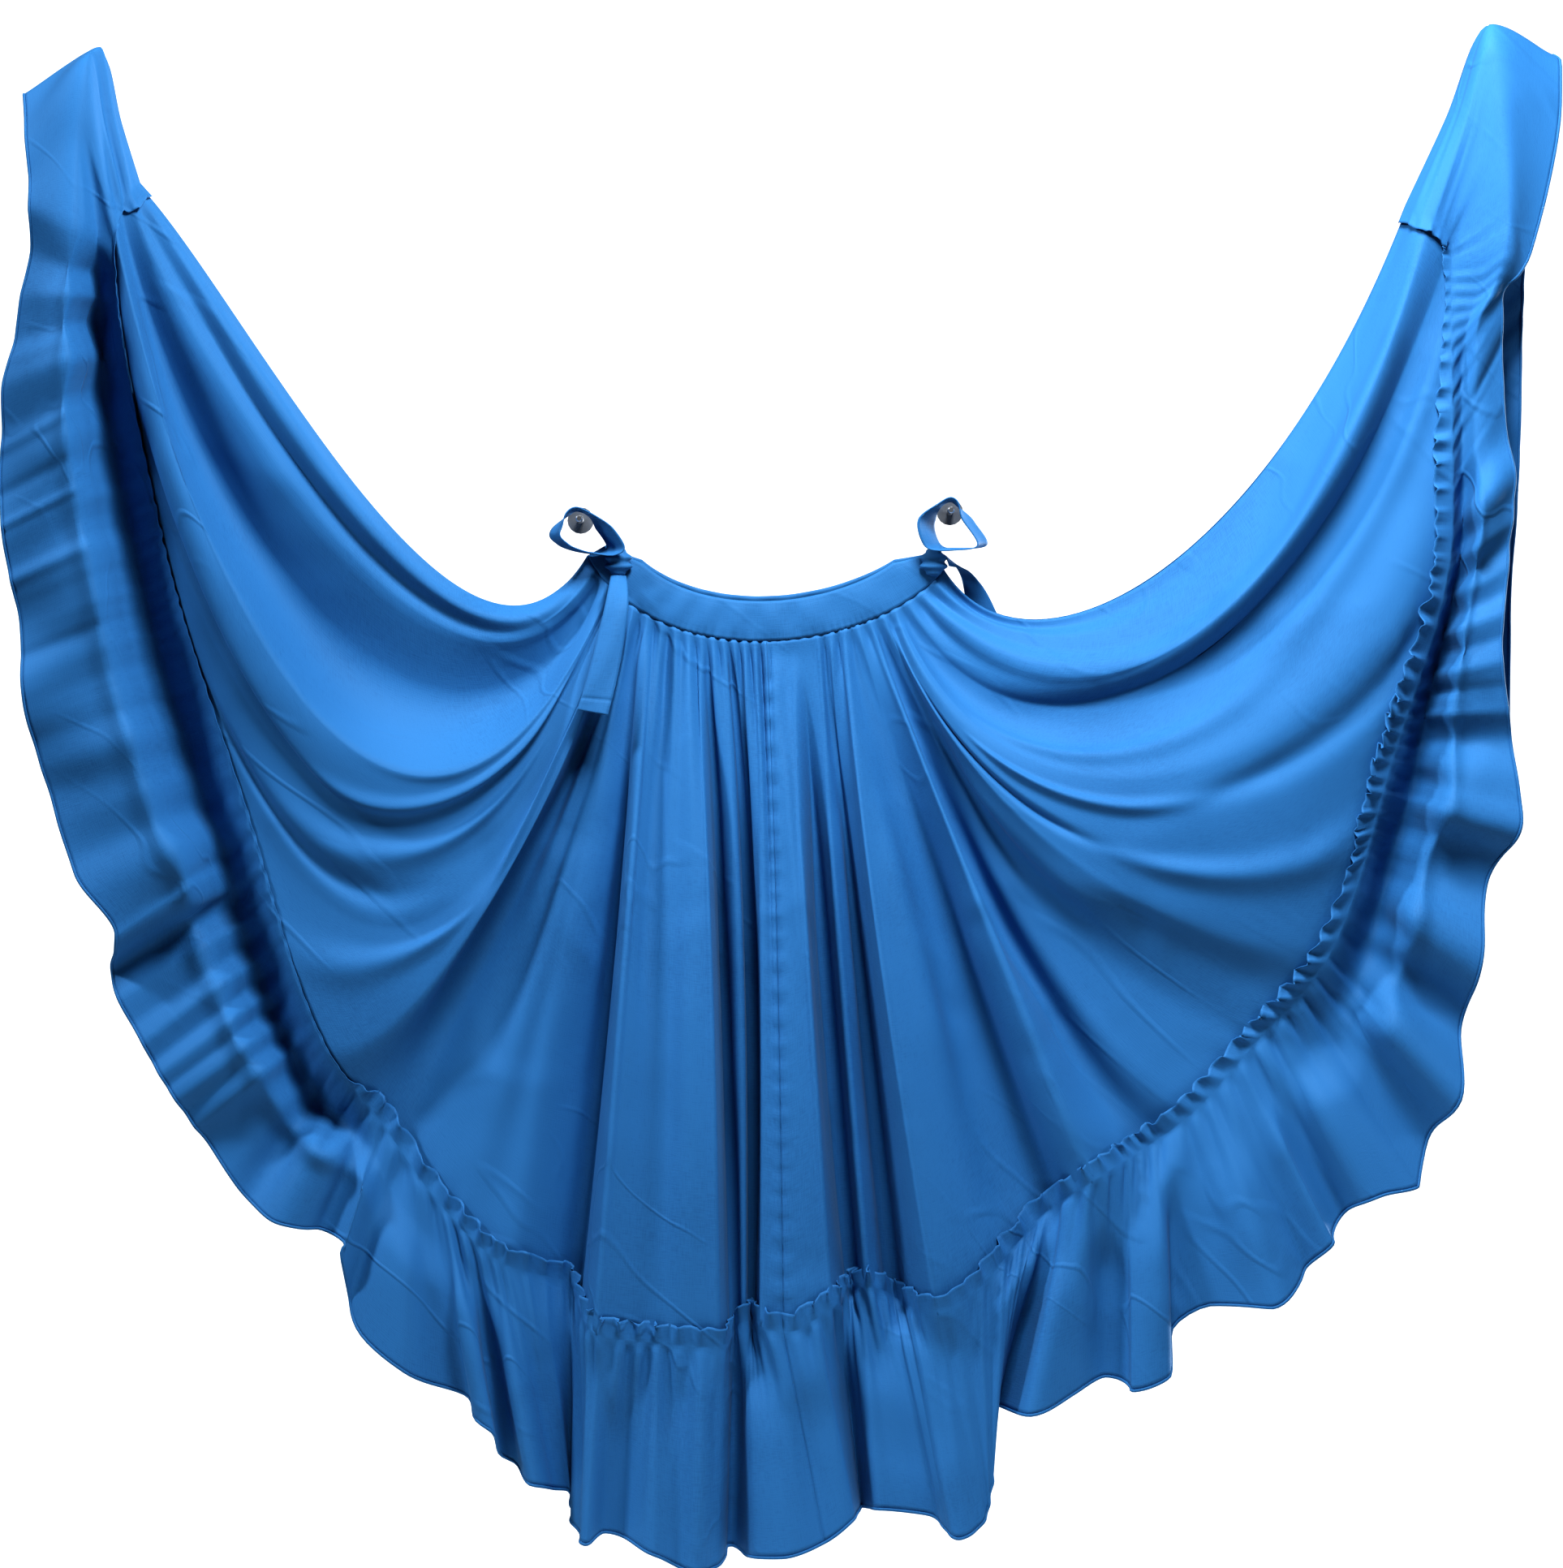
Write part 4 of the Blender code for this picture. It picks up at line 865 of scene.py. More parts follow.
def centre_seam_form(places, centre_place, shares):
    """The stitched centre seam: a bell-shaped dip along it, and a sine down it for the puckers.

    The puckers fade out beside the seam as a wider bell."""
    away = np.abs(places - centre_place)[:, None]
    down = shares[None] * PANEL_CUT_LENGTH
    pucker = np.sin(2 * np.pi * down / SEAM_PUCKER_PITCH + 1.3 * np.sin(down / 41)) * bell(away, 0.0, 13)
    dip = -SEAM_DIP * bell(away, 0.0, 4)
    return (SEAM_PUCKER * pucker + dip) * rise(shares, 0.02, 0.08)[None]


front_lines = front_fold_lines(routes, FRONT_SHARES)
marks = seam_marks(front_lines)
front_places = fine_places(marks, COLUMN_STEP, front_lines)
front_smooth = loft(marks, front_lines, front_places)
seam_place = marks[names.index("centre_seam")]
marks_at = (np.arange(len(marks)), marks)
relief = creases(FRONT_CREASES, front_places, marks_at, FRONT_SHARES)
relief += waist_gathers(front_smooth, FRONT_SHARES)
relief += centre_seam_form(front_places, seam_place, FRONT_SHARES)
front = front_smooth + fold_normals(front_smooth) * relief[:, :, None]
print("front sheet:", front.shape[:2], "columns and rows, seam", round(marks[-1]), "mm long")

# %% Front panel pieces
SIDE_TURN = 6.0


def side_turned(grid, first=True, last=True):
    """Adds the turned allowance of a side seam: one more column, bent towards the wall."""
    turn = np.array([0.0, SIDE_TURN, 0.0])
    return np.concatenate(([grid[:1] - turn] if first else []) + [grid]
                          + ([grid[-1:] - turn] if last else []))


centre = int(np.argmin(np.abs(front_places - seam_place)))
panel_left = side_turned(front[:centre + 1], last=False)
panel_right = side_turned(front[centre:], first=False)
front_left = put_on(sheet_mesh("skirt_panel_front_left", panel_left, CLOTH), "panel_front_left")
front_right = put_on(sheet_mesh("skirt_panel_front_right", panel_right, CLOTH), "panel_front_right")
print("areas:", round(area_of(panel_left), 3), round(area_of(panel_right), 3), "m2")

# %% [markdown]
# ## The front ruffle
# The ruffle is a long strip gathered onto the outside of the hem with two rows of stitching, so a
# little frilled header stands above the stitches. Below them the gathers open into broad lobes.
# One grid carries it all: rows of header, the stitch line, then rows down to the rolled hem.

# %% Ruffle surface
RUFFLE_STEP = 3.6
RUFFLE_PITCH = 24.0
LOBE_PITCH = 92.0
GATHER_SWELL = 5.5
LOBE_SWELL = 9.0
HEADER_FRILL = 9.0
HEADER_ZIGZAG = 6.0
LOBE_SMALL_PITCH = 47.0
LOBE_SMALL_SWELL = 5.6
HEADER_TALL = 20.0
HEADER_UNEVEN, HEADER_UNEVEN_PITCH = 0.12, 33.0
HEADER_ROWS = np.array([1.0, 0.86, 0.7, 0.54, 0.38, 0.22, 0.08])
FALL_ROWS = np.linspace(0.0, 1.0, 38)[1:]
# start, end, how far the tuck goes in and how far the crest stands out there
RECESSES = ((4.9, 9.0, 15.0, 10.0), (30.9, 33.2, 8.0, 6.0))
STILL_AT = (0.0, 4.0, 4.8, 8.4, 9.4, 30.6, 31.2, 34.0, 35.0)
STILL_SHARE = (1.0, 1.0, 0.2, 0.25, 1.0, 1.0, 0.45, 0.35, 1.0)
# place, depth and width of each crease in the hitched-up ruffle
PRESS_CREASES = ((5.36, 2.0, 6.0), (5.58, 3.4, 6.0), (5.73, -2.6, 7.0), (5.84, 3.0, 5.0), (6.05, 3.4, 8.0),
                 (6.32, -2.4, 9.0), (32.3, 2.4, 8.0), (33.3, -2.4, 9.0))


def edge_directions(panel):
    """At the panel's lower edge: the outward normal, and the way up the folds."""
    down = unit(panel[:, -1] - panel[:, -3])
    tangent = unit(np.gradient(panel[:, -1], axis=0))
    normal = smoothed(unit(np.cross(tangent, down)), 3)
    square = unit(np.cross(normal, tangent))
    square *= -np.sign(np.sum(square * down, axis=1))[:, None]
    grazing = rise(np.abs(np.sum(tangent * down, axis=1)), *GRAZING_FOLDS)[:, None]
    return normal, unit(square * grazing - down * (1 - grazing))


def ruffle_surface(panel, panel_places, keys, header, outward, share, step, pitch, still_at=None):
    """Ruffle: header rows above the stitch line, then the smooth fall through tuck, crest and hem.

    Gathers are a short wave that is strongest just below the stitches and fades down the strip.
    Lobes are two longer waves that grow towards the hem. All stand square to the smooth sheet.
    Where the cloth is hitched up, still_at (places, shares) turns the gathers down."""
    places = np.unique(np.concatenate([np.arange(0.0, panel_places[-1], step), panel_places[-1:]]))
    normal, up = edge_directions(panel)
    normal = along(panel_places, normal * outward, places)
    up = unit(along(panel_places, up, places))
    edge = along(panel_places, panel[:, -1], places)
    key_places = np.array([key[0] for key in keys])
    key_points = np.array([key[1] for key in keys])
    fall = [smooth_through(key_places, key_points[:, i], places) for i in range(3)]
    stitch = edge + normal * STITCH_STAND
    path = np.stack([stitch, *fall]).reshape(4, -1)
    lower = smooth_through(RUFFLE_KEYS, path, FALL_ROWS).reshape(len(FALL_ROWS), -1, 3)
    shown = np.interp(places, *zip(*header))
    tall = HEADER_TALL * shown * (1 + HEADER_UNEVEN * uneven_wave(places, HEADER_UNEVEN_PITCH, 2.0))
    stand = HEADER_STAND * shown * share
    zigzag = HEADER_ZIGZAG * uneven_wave(places + pitch / 4, pitch, 0.4) * shown
    sway = unit(np.gradient(edge, axis=0)) * zigzag[:, None]
    upper = [stitch + up * (tall * h)[:, None] + sway * h
             + np.array([0.0, outward, 0.0]) * (stand * h**1.5)[:, None] for h in HEADER_ROWS]
    grid = np.concatenate([np.array(upper), stitch[None], lower]).transpose(1, 0, 2)
    room = np.linalg.norm(np.gradient(grid, axis=0), axis=2) / step
    ends = np.minimum(places - places[0], places[-1] - places) / GATHERS_FADE
    ends = np.minimum(ends, 1.0)[:, None]
    gather = (0.8 * uneven_wave(places, pitch, 0.4) + 0.4 * uneven_wave(places, 0.61 * pitch, 2.2))[:, None]
    still = np.interp(places, *still_at)[:, None] if still_at else 1.0
    lobe = LOBE_SWELL * crisp(uneven_wave(places, LOBE_PITCH, 1.9))[:, None]
    lobe = lobe * rise(FALL_ROWS, 0.05, 0.65)[None]
    small = crisp(uneven_wave(places, LOBE_SMALL_PITCH, 0.2))[:, None] * rise(FALL_ROWS, 0.0, 0.3)[None]
    lobe += LOBE_SMALL_SWELL * small * (1 - 0.4 * FALL_ROWS)[None]
    reach = 0.14 + 0.14 * (1 + np.sin(places / 23.0) * np.cos(places / 61.0))[:, None]
    short = rise(FALL_ROWS, -0.05, 0.08)[None] * (0.06 + 0.94 * np.exp(-(FALL_ROWS[None] / reach)**1.3))
    top = HEADER_FRILL * (HEADER_ROWS**1.1)[None] * shown[:, None] * share
    wave = np.concatenate([gather * top, gather * 0.4,
                           gather * short * still * GATHER_SWELL + lobe * share], axis=1)
    wave *= np.minimum(room, 1.15) * ends
    return grid + fold_normals(grid, 3) * wave[:, :, None], places


keys = hitch_keys(LEFT_HITCH, front_smooth, front_places, marks_at)
keys += hem_keys(FRONT_HEM, front_smooth, front_places, marks_at)
keys += hitch_keys(RIGHT_HITCH, front_smooth, front_places, marks_at)
header = [(np.interp(at, *marks_at), share) for at, share in HEADER_SHARE]
still_at = ([np.interp(at, *marks_at) for at in STILL_AT], STILL_SHARE)
ruffle, ruffle_places = ruffle_surface(front_smooth, front_places, keys, header, 1.0, 1.0,
                                       RUFFLE_STEP, RUFFLE_PITCH, still_at)
for start, end, tuck, crest in RECESSES:
    edges = np.interp([start, start + 0.5, end - 0.5, end], *marks_at)
    here = rise(ruffle_places, *edges[:2]) * (1 - rise(ruffle_places, *edges[2:]))
    depth = crest * bell(FALL_ROWS, 0.47, 0.08) - tuck * bell(FALL_ROWS, 0.24, 0.11)
    ruffle[:, len(HEADER_ROWS) + 1:, 1] += here[:, None] * depth[None]
for at, depth, width in PRESS_CREASES:
    across = bell(ruffle_places, np.interp(at, *marks_at), width)[:, None]
    ruffle[:, len(HEADER_ROWS) + 1:, 1] += depth * across * rise(FALL_ROWS, 0.3, 0.6)[None]
print("front ruffle:", ruffle.shape[:2], "columns and rows")

# %% [markdown]
# ## The rolled hem
# The strip's lower edge is a narrow rolled hem, about four millimetres across, which shows as a thin
# bright cord along every lobe. It is a small circle carried along the last row of the sheet, made
# as its own piece.

# %% Ruffle pieces
HEM_RADIUS = 1.7


def ruffle_pieces(side, grid, area_name):
    """A ruffle sheet and its rolled hem, both riding on the frame."""
    cloth = put_on(sheet_mesh("skirt_" + area_name, grid, CLOTH), area_name)
    roll = put_on(tube_along("hem_roll_" + side, grid[:, -1], HEM_RADIUS, TAPE), None)
    return cloth, roll


cut = int(np.argmin(np.abs(ruffle_places - seam_place)))
ruffle_left = side_turned(ruffle[:cut + 1], last=False)
ruffle_right = side_turned(ruffle[cut:], first=False)
front_ruffle_left = ruffle_pieces("front_left", ruffle_left, "ruffle_front_left")
front_ruffle_right = ruffle_pieces("front_right", ruffle_right, "ruffle_front_right")
print("areas:", round(area_of(ruffle_left), 3), round(area_of(ruffle_right), 3), "m2")

# %% [markdown]
# ## The back panels and ruffle
# The back hangs flatter, close to the wall, and follows the same routes behind the front. It has its
# own creases and gathers, because a visitor to the model will look at it from behind.

# %% Back panels
BACK_CREASES = (
    (1.4, 0.20, 0.80, 0.2, 4, 30),
    (2.5, 0.15, 0.90, 0.2, -5, 36),
    (3.5, 0.30, 1.05, -0.1, 5, 40),
    (4.4, 0.10, 0.70, 0.2, -5, 36),
    (5.5, 0.30, 1.05, 0.1, 5, 34),
    (6.5, 0.15, 0.70, 0.2, 4, 30),
    (7.5, 0.35, 1.05, 0.0, -5, 40),
    (8.5, 0.20, 0.90, 0.1, 4, 22),
    (10.5, 0.25, 1.00, 0.0, 4, 20),
    (12.5, 0.15, 0.75, 0.1, -4, 26),
    (13.5, 0.30, 1.05, 0.1, 5, 36),
    (14.5, 0.15, 0.80, 0.2, -5, 40),
    (15.5, 0.30, 1.05, 0.0, 5, 42),
    (16.5, 0.15, 0.70, 0.2, 5, 40),
    (17.5, 0.35, 1.05, 0.1, -5, 40),
    (18.5, 0.20, 0.80, 0.1, 5, 36),
    (19.5, 0.30, 0.95, 0.1, -4, 30),
)
BACK_SHARES = np.linspace(0.0, 1.0, 60) ** 1.1
BACK_COLUMN_STEP = 11.0
BACK_RUFFLE_STEP = 6.0
BACK_PITCH = 27.0
BACK_GATHER_SHARE = 0.8

back_names = [row[0] for row in BACK_FOLDS]
back_lines = back_fold_lines(routes, BACK_SHARES)
back_marks = seam_marks(back_lines)
back_places = fine_places(back_marks, BACK_COLUMN_STEP, back_lines)
back_smooth = loft(back_marks, back_lines, back_places)
back_at = (np.arange(len(back_marks)), back_marks)
relief = -creases(BACK_CREASES, back_places, back_at, BACK_SHARES)
relief -= BACK_GATHER_SHARE * waist_gathers(back_smooth, BACK_SHARES, NO_FLAT_PIECE)
back = back_smooth + fold_normals(back_smooth) * relief[:, :, None]
side_lines = front_fold_lines([routes[0], routes[-1]], BACK_SHARES)
closed = [side[None] - np.array([0.0, SIDE_TURN + 0.6, 0.0]) for side in side_lines]
back_seam = back_marks[back_names.index("centre_seam")]
centre = int(np.argmin(np.abs(back_places - back_seam)))
back_left_grid = np.concatenate([closed[0], back[:centre + 1]])
back_right_grid = np.concatenate([back[centre:], closed[1]])
back_left = put_on(sheet_mesh("skirt_panel_back_left", back_left_grid, CLOTH), "panel_back_left")
back_right = put_on(sheet_mesh("skirt_panel_back_right", back_right_grid, CLOTH), "panel_back_right")
print("back sheet:", back.shape[:2])

# %% Back ruffle
back_place_at = ([names.index(name) for name in back_names], back_marks)
keys = hem_keys(BACK_HEM, back_smooth, back_places, back_place_at)
header = [(np.interp(at, *back_place_at), share * BACK_HEADER_SHARE) for at, share in HEADER_SHARE]
back_ruffle, places = ruffle_surface(back_smooth, back_places, keys, header, -1.0, BACK_STAND_SHARE,
                                     BACK_RUFFLE_STEP, BACK_PITCH)
cut = int(np.argmin(np.abs(places - back_seam)))
back_grid_left, back_grid_right = back_ruffle[:cut + 1], back_ruffle[cut:]
back_ruffle_left = ruffle_pieces("back_left", back_grid_left, "ruffle_back_left")
back_ruffle_right = ruffle_pieces("back_right", back_grid_right, "ruffle_back_right")
print("back ruffle:", back_ruffle.shape[:2])

# %% [markdown]
# ## The waistband
# The band is a folded strip, stitched along its lower edge and slack between the ties, so it bows
# down in the middle. Its face is slightly full between the two edges and puckers along the stitches.

# %% Waistband
BAND_COLUMNS = 240
BAND_ROWS = np.linspace(0.0, 1.0, 13)
BAND_FULL = 1.6
BAND_PUCKER, BAND_PUCKER_PITCH = 0.7, 9.0
BAND_SLACK, BAND_SLACK_PITCH = 1.3, 46.0
BAND_STITCHES = ((0.12, 0.9), (0.9, 0.6))
BAND_STITCH_WIDTH = 0.035


def band_surface(ends_and_middle, rise_mm, lean, outward):
    """Half the waistband: straight between its two edges, a little full, with stitch puckers."""
    share = np.linspace(0.0, 1.0, BAND_COLUMNS)
    curve = pulled_curve(*WAIST_CURVE, share)
    x, z = curve[:, 0], curve[:, 1]
    bow = waist_bow(x)
    z = z + rise_mm * bow
    out = waist_out(x, ends_and_middle)
    tangent = unit(np.stack([np.gradient(x), np.gradient(z)], axis=1))
    height = BAND_END_HEIGHT + (BAND_HEIGHT - BAND_END_HEIGHT) * np.minimum(1.0, 2.0 * bow)
    v = BAND_ROWS[None]
    full = BAND_FULL * np.sin(np.pi * v) ** 0.6
    stitch = BAND_PUCKER * uneven_wave(x, BAND_PUCKER_PITCH, 3.1)[:, None] * bell(v, 0.0, 0.16)
    slack = BAND_SLACK * uneven_wave(x, BAND_SLACK_PITCH, 0.9)[:, None] * np.sin(np.pi * v)
    ridge = sum(-depth * bell(v, at, BAND_STITCH_WIDTH) for at, depth in BAND_STITCHES)
    grid_x = x[:, None] - tangent[:, 1:] * height[:, None] * v
    grid_z = z[:, None] + tangent[:, :1] * height[:, None] * v
    grid_out = (out[:, None] + lean * bow[:, None] * v
                + outward * (full + stitch + slack + ridge) * rise(bow, 0.0, 0.25)[:, None])
    return np.stack([grid_x, grid_out, grid_z], axis=2)[:, ::-1]


band_front_grid = band_surface(FRONT_WAIST_OUT, 0.0, -BAND_LEAN, 1.0)
band_back_grid = band_surface(BACK_WAIST_OUT, BACK_WAIST_RISE, BAND_LEAN, -1.0)
band_front = put_on(sheet_mesh("waistband_front_cloth", band_front_grid, TAPE, BAND_THICK),
                    "waistband_front")
band_back = put_on(sheet_mesh("waistband_back_cloth", band_back_grid, TAPE, BAND_THICK), "waistband_back")
print("band areas:", round(area_of(band_front_grid), 4), round(area_of(band_back_grid), 4), "m2")

# %% [markdown]
# ## The ties
# Each tie is a flat doubled tape. It loops up over its peg, is knotted at the end of the band and
# lets its free end hang down. Loop and tail are ribbons through given points, and the
# knot is a rounded lump with the tape's own wraps pressed into it. A row of a tail's table is the
# left edge and the right edge of the ribbon, each as x, out and z.

# %% Tie loops
LOOP_OUTS = (38.0, 62.0)
LOOP_FLARE = 0.06
LOOP_SLANT = 15.0
LEFT_LOOP = ((-159, -33), (-177, -8), (-197, 5), (-210, 0), (-223, -20), (-215, -31),
             (-203, -37), (-186, -41), (-168, -42))
RIGHT_LOOP = ((196, 15), (178, 6), (168, -8), (171, -26), (180, -36), (202, -37),
              (227, -32), (213, -8))
LEFT_KNOT = (-156.0, 45.2, -50.0)
RIGHT_KNOT = (176.0, 43.2, -50.0)
KNOT_HALF_WIDTH = 14.0
KNOT_HALF_DEPTH = 8.0
KNOT_HALF_HEIGHT = 15.0
KNOT_PINCH = 0.12
TAIL_FOLD = 3.0
LEFT_TAIL = (
    (-164, 45, -64.5, -148, 45, -64.5),
    (-166, 58, -77, -146, 58, -77),
    (-170, 72, -98, -145, 72, -96),
    (-180, 84, -140, -150, 84, -138),
    (-190, 92, -180, -158, 92, -180),
    (-198, 96, -206, -166, 96, -212),
)
RIGHT_TAIL = (
    (189, 44, -44, 192, 43, -54),
    (198, 30, -52, 210, 30, -58),
    (206, 16, -66, 226, 16, -72),
    (211, 8, -92, 240, 8, -96),
    (214, 6, -110, 246, 6, -112),
    (217, 6, -160, 249, 6, -160),
    (218, 6, -206, 250, 6, -204),
)


def round_curve(points, count):
    """Closed curve through the points: a Catmull-Rom curve that comes back to its start."""
    points = np.asarray(points, float)
    number = len(points)
    t = np.linspace(0, number, count, endpoint=False)
    i = t.astype(int) % number
    s = (t - np.floor(t))[:, None]
    a, b, c, d = points[i - 1], points[i], points[(i + 1) % number], points[(i + 2) % number]
    return 0.5 * (2 * b + (c - a) * s + (2 * a - 5 * b + 4 * c - d) * s**2
                  + (3 * b - a - 3 * c + d) * s**3)


def loop_surface(points, outs, slant, seed):
    """Loop of tape round the points, its front edge slid sideways below the peg to show its face."""
    flat = round_curve(points, 144)
    middle = flat.mean(axis=0)
    v = np.linspace(0.0, 1.0, 11)
    size = (1 - LOOP_FLARE) + 2 * LOOP_FLARE * v
    place = middle + (flat - middle)[:, None] * size[None, :, None]
    turn = np.linspace(0, 2 * np.pi, len(flat), endpoint=False)[:, None]
    out = outs[0] + (outs[-1] - outs[0]) * v[None] + 1.2 * np.sin(3 * turn + seed) * (v[None] - 0.3)
    dish = 1.1 * np.sin(np.pi * v)[None] * (1 + 0.5 * np.sin(5 * turn + seed))
    place = place - unit(flat - middle)[:, None] * dish[:, :, None]
    below = rise(flat[:, 1].max() - flat[:, 1], 2.0, 22.0)
    slid = slant * (v[None] - 0.5) * below[:, None]
    return np.stack([place[..., 0] + slid, out, place[..., 1]], axis=2)


loop_left_grid = loop_surface(LEFT_LOOP, LOOP_OUTS, LOOP_SLANT, 0.6)
loop_right_grid = loop_surface(RIGHT_LOOP, LOOP_OUTS, -LOOP_SLANT, 2.1)
loop_left = put_on(sheet_mesh("tie_loop_left_tape", loop_left_grid, TAPE, TAPE_THICK, True),
                   "tie_loop_left")
loop_right = put_on(sheet_mesh("tie_loop_right_tape", loop_right_grid, TAPE, TAPE_THICK, True),
                    "tie_loop_right")
print("loop areas:", round(area_of(loop_left_grid), 4), round(area_of(loop_right_grid), 4), "m2")

# %% Tie tails
def tail_surface(table):
    """Free end of a tie: a ribbon between two smooth edges, full along its middle, hemmed at its end."""
    rows = np.array(table, float)
    way = np.linspace(0, 1, len(rows))
    t = np.linspace(0, 1, 90)
    left = smooth_through(way, rows[:, :3], t)
    right = smooth_through(way, rows[:, 3:], t)
    v = np.linspace(0.0, 1.0, 11)[:, None]
    grid = left[None] * (1 - v)[..., None] + right[None] * v[..., None]
    fold = TAIL_FOLD * np.sin(np.pi * v) * (1 - 0.5 * t[None]) + 1.0 * np.sin(9 * t[None] + 5 * v)
    hem = -0.9 * bell(t[None], 0.90, 0.012)
    grid[..., 1] += fold + hem
    return grid


tail_left_grid = tail_surface(LEFT_TAIL)
tail_right_grid = tail_surface(RIGHT_TAIL)
tail_left = put_on(sheet_mesh("tie_tail_left_tape", tail_left_grid, TAPE, TAPE_THICK), "tie_tail_left")
tail_right = put_on(sheet_mesh("tie_tail_right_tape", tail_right_grid, TAPE, TAPE_THICK), "tie_tail_right")
print("tail areas:", round(area_of(tail_left_grid), 4), round(area_of(tail_right_grid), 4), "m2")

# %% Tie knots
def knot_surface(x, out, z):
    """Knot: a squashed ball whose face carries three slanting wraps of tape."""
    across = np.linspace(0, 2 * np.pi, 72, endpoint=False)[:, None]
    down = np.linspace(0.02, np.pi - 0.02, 40)[None]
    height = np.cos(down)
    wraps = 0.10 * np.abs(np.sin(1.5 * np.pi * height + 1.1 * np.sin(across))) ** 0.5
    pinch = 0.90 - KNOT_PINCH * np.cos(3 * np.pi * height) + wraps
    px = x + KNOT_HALF_WIDTH * pinch * np.sin(down) * np.cos(across)
    po = out + KNOT_HALF_DEPTH * pinch * np.sin(down) * np.sin(across)
    pz = z + KNOT_HALF_HEIGHT * height * (1 + 0 * across)
    return np.stack([px, po, pz], axis=2)


knot_left = put_on(sheet_mesh("tie_knot_left_tape", knot_surface(*LEFT_KNOT), TAPE, 0.0, True),
                   "tie_knot_left")
knot_right = put_on(sheet_mesh("tie_knot_right_tape", knot_surface(*RIGHT_KNOT), TAPE, 0.0, True),
                    "tie_knot_right")
print("knots:", made["tie_knot_left_tape"], "faces each")

# %% [markdown]
# ## The wall pegs
# The photograph shows no support, so the pegs are plain: turned steel, satin brushed round their
# length. Their CAD shape is right, so each node stays and only gets a finish.

# %% Satin steel
def satin_steel():
    """Brushed steel: fine rings round the turned rod, drawn as a stretched noise in the roughness."""
    material, tree, output = new_material("steel_satin_turned")
    place = add_node(tree, "TexCoord")
    rings = add_node(tree, "Mapping", inputs={"Scale": (40.0, 1400.0, 40.0)},
                     links={"Vector": place.outputs["Object"]})
    noise = add_node(tree, "TexNoise", inputs={"Scale": 1.0, "Detail": 2.0},
                     links={"Vector": rings})
    rough = add_node(tree, "MapRange", inputs={"To Min": 0.24, "To Max": 0.42}, links={"Value": noise})
    bump = add_node(tree, "Bump", inputs={"Strength": 0.1, "Distance": 0.2 * MM}, links={"Height": noise})
    shader = add_node(tree, "BsdfPrincipled",
                      inputs={"Base Color": linear("C4C6CA"), "Metallic": 1.0},
                      links={"Roughness": rough, "Normal": bump})
    tree.links.new(shader.outputs[0], output.inputs[0])
    return material


STEEL = satin_steel()
for name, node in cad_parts.items():
    if name.startswith("peg_"):
        for place in node.material_slots:
            place.material = STEEL
print("pegs finished:", sum(name.startswith("peg_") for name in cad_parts))

# %% [markdown]
# ## How each sheet was cut
# The sizes of the flat cuts are estimates and are not set down here. The cuts are no rectangles; the
# areas printed above are those of the sheets made here, and no separate measure of the real cut, so
# they can't tell whether the cloth was stretched.

# %% [markdown]
# ## Floor and light
# The photograph is a cut-out on white, lit by a window at the upper left. A lamp stands where the
# window was and rakes across the folds, and a nearer one above the right half lights that side. Two
# fills lift the right edge and the back. The world is white to the camera and almost dark to the
# cloth, so that the valleys stay deep, and the high-contrast look deepens them again.

# %% Stage
FLOOR_Z = -1350.0
FLOOR_HALF = 1500.0

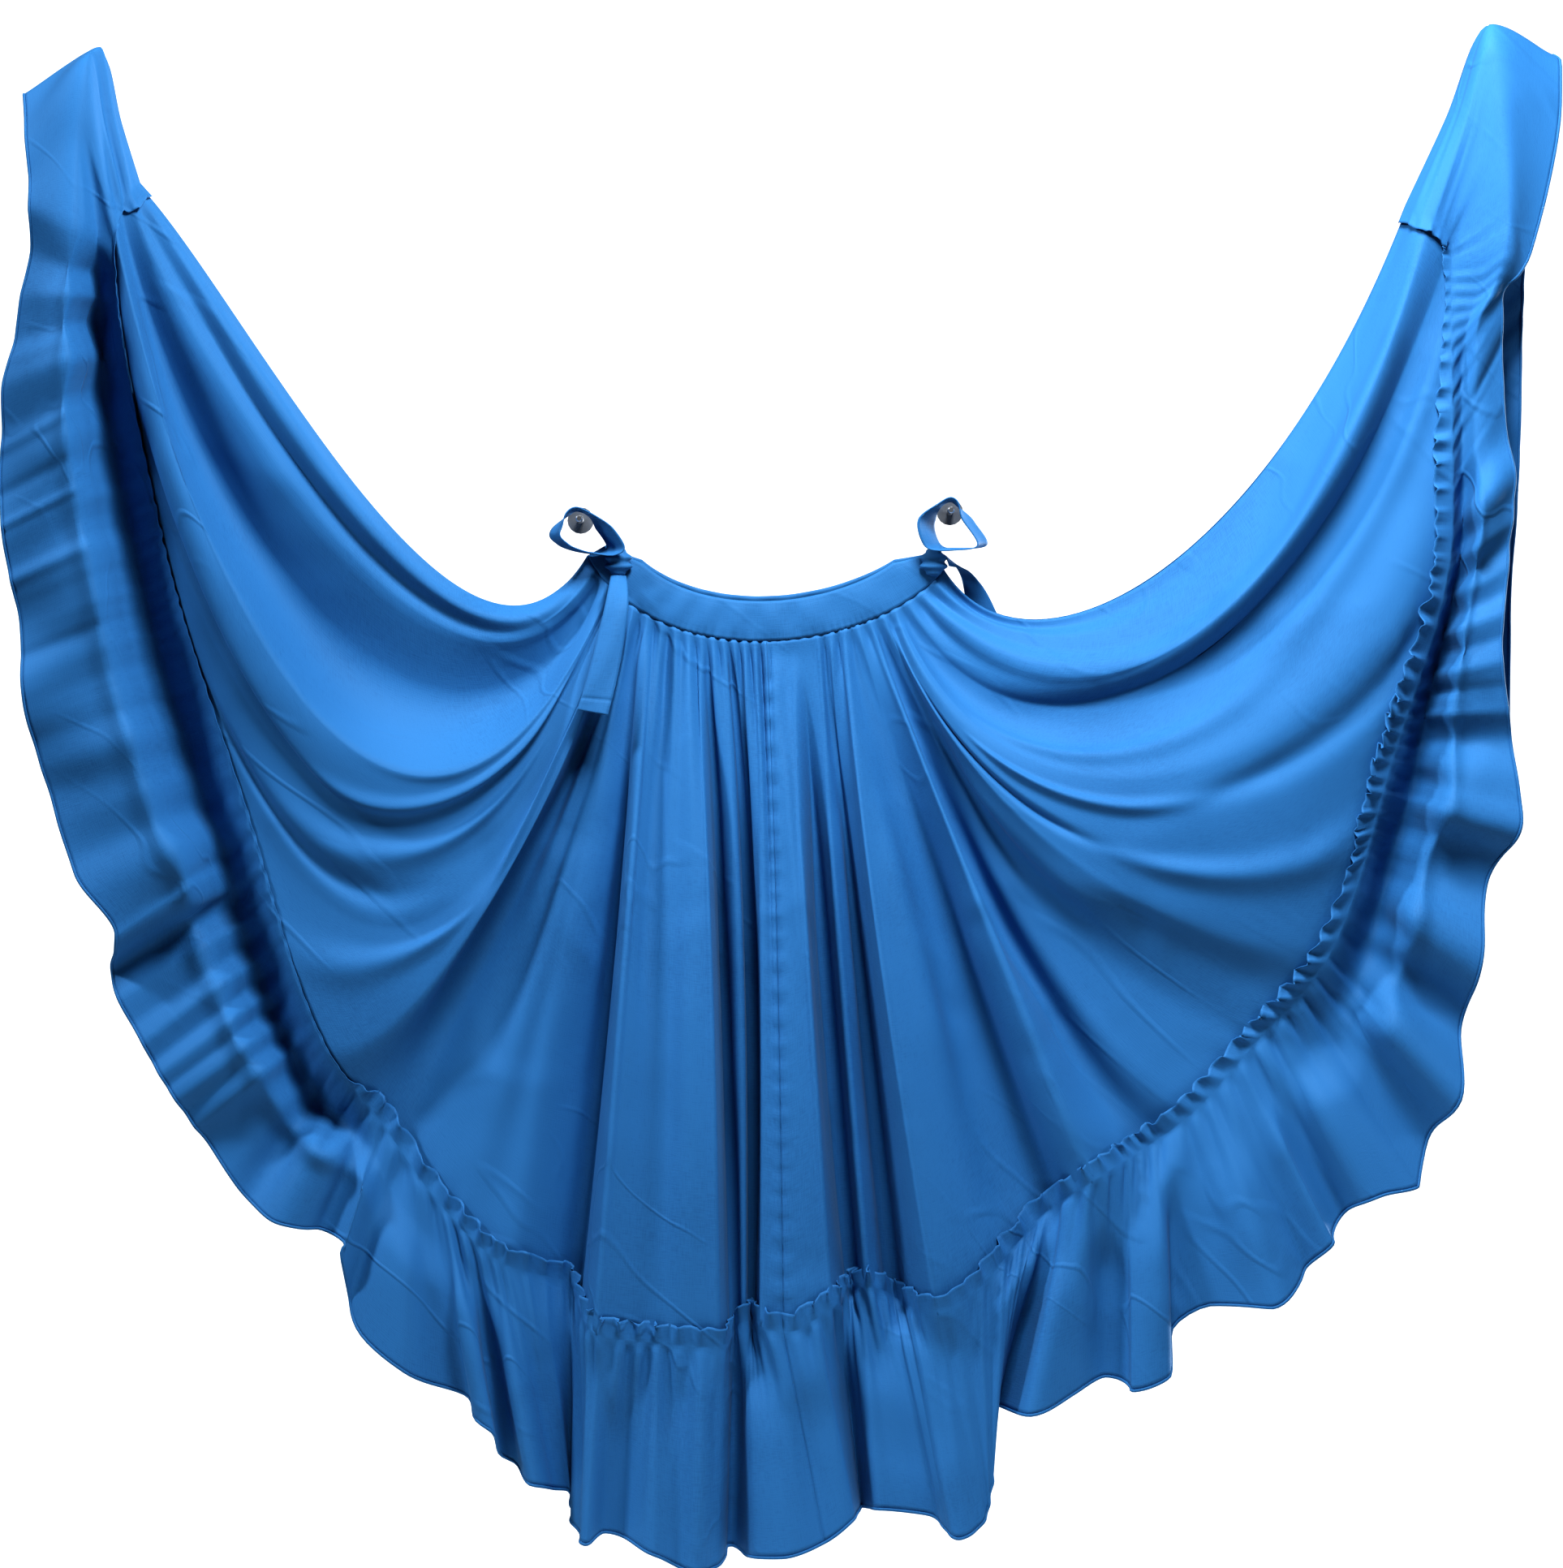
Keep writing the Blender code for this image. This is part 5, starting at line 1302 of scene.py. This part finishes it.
scene = bpy.context.scene
scene.view_settings.view_transform = "Standard"
scene.view_settings.look = "High Contrast"
corners = [(-FLOOR_HALF, -FLOOR_HALF), (FLOOR_HALF, -FLOOR_HALF), (FLOOR_HALF, FLOOR_HALF),
           (-FLOOR_HALF, FLOOR_HALF)]
floor_mesh = bpy.data.meshes.new("studio_floor")
floor_mesh.from_pydata([(x * MM, y * MM, FLOOR_Z * MM) for x, y in corners], [], [(0, 1, 2, 3)])
floor = bpy.data.objects.new("studio_floor", floor_mesh)
scene.collection.objects.link(floor)
paint, tree, output = new_material("floor_matt_paint")
shader = add_node(tree, "BsdfPrincipled", inputs={"Base Color": linear("E6E4E0"), "Roughness": 0.8})
tree.links.new(shader.outputs[0], output.inputs[0])
floor_mesh.materials.append(paint)

# %% Light
def soft_lamp(name, place, size, watts, colour, aim=(0.0, 0.0, -0.3)):
    """A square area lamp, aimed at the skirt unless told otherwise."""
    data = bpy.data.lights.new(name, "AREA")
    data.size = size
    data.energy = watts
    data.color = colour
    lamp = bpy.data.objects.new(name, data)
    lamp.location = place
    way = np.array(aim) - np.array(place)
    tilt = math.acos(-way[2] / np.linalg.norm(way))
    lamp.rotation_euler = (tilt, 0.0, math.atan2(way[1], way[0]) - math.pi / 2)
    scene.collection.objects.link(lamp)
    return lamp


DAYLIGHT = (0.94, 0.97, 1.0)
soft_lamp("window", (-3.5, -1.5, 2.7), 0.6, 152.0, DAYLIGHT)
soft_lamp("skylight", (0.35, -1.2, 1.5), 0.7, 80.0, DAYLIGHT, (0.6, 0.0, 0.0))
soft_lamp("right_fill", (2.9, -0.9, 0.3), 0.8, 12.0, DAYLIGHT)
soft_lamp("back_fill", (2.6, 2.2, 0.0), 1.0, 125.0, DAYLIGHT)
world = bpy.data.worlds.new("pale_studio")
world.use_nodes = True
tree = world.node_tree
tree.nodes.clear()
light = add_node(tree, "Background", inputs={"Color": (0.86, 0.92, 1.0, 1.0), "Strength": 0.02})
shown = add_node(tree, "Background", inputs={"Color": (1.0, 1.0, 1.0, 1.0), "Strength": 1.0})
ray = add_node(tree, "LightPath")
mix = add_node(tree, "MixShader", links={0: ray.outputs["Is Camera Ray"], 1: light, 2: shown})
add_node(tree, "OutputWorld", links={0: mix})
scene.world = world
print("triangles before thickness:", 2 * sum(made.values()))
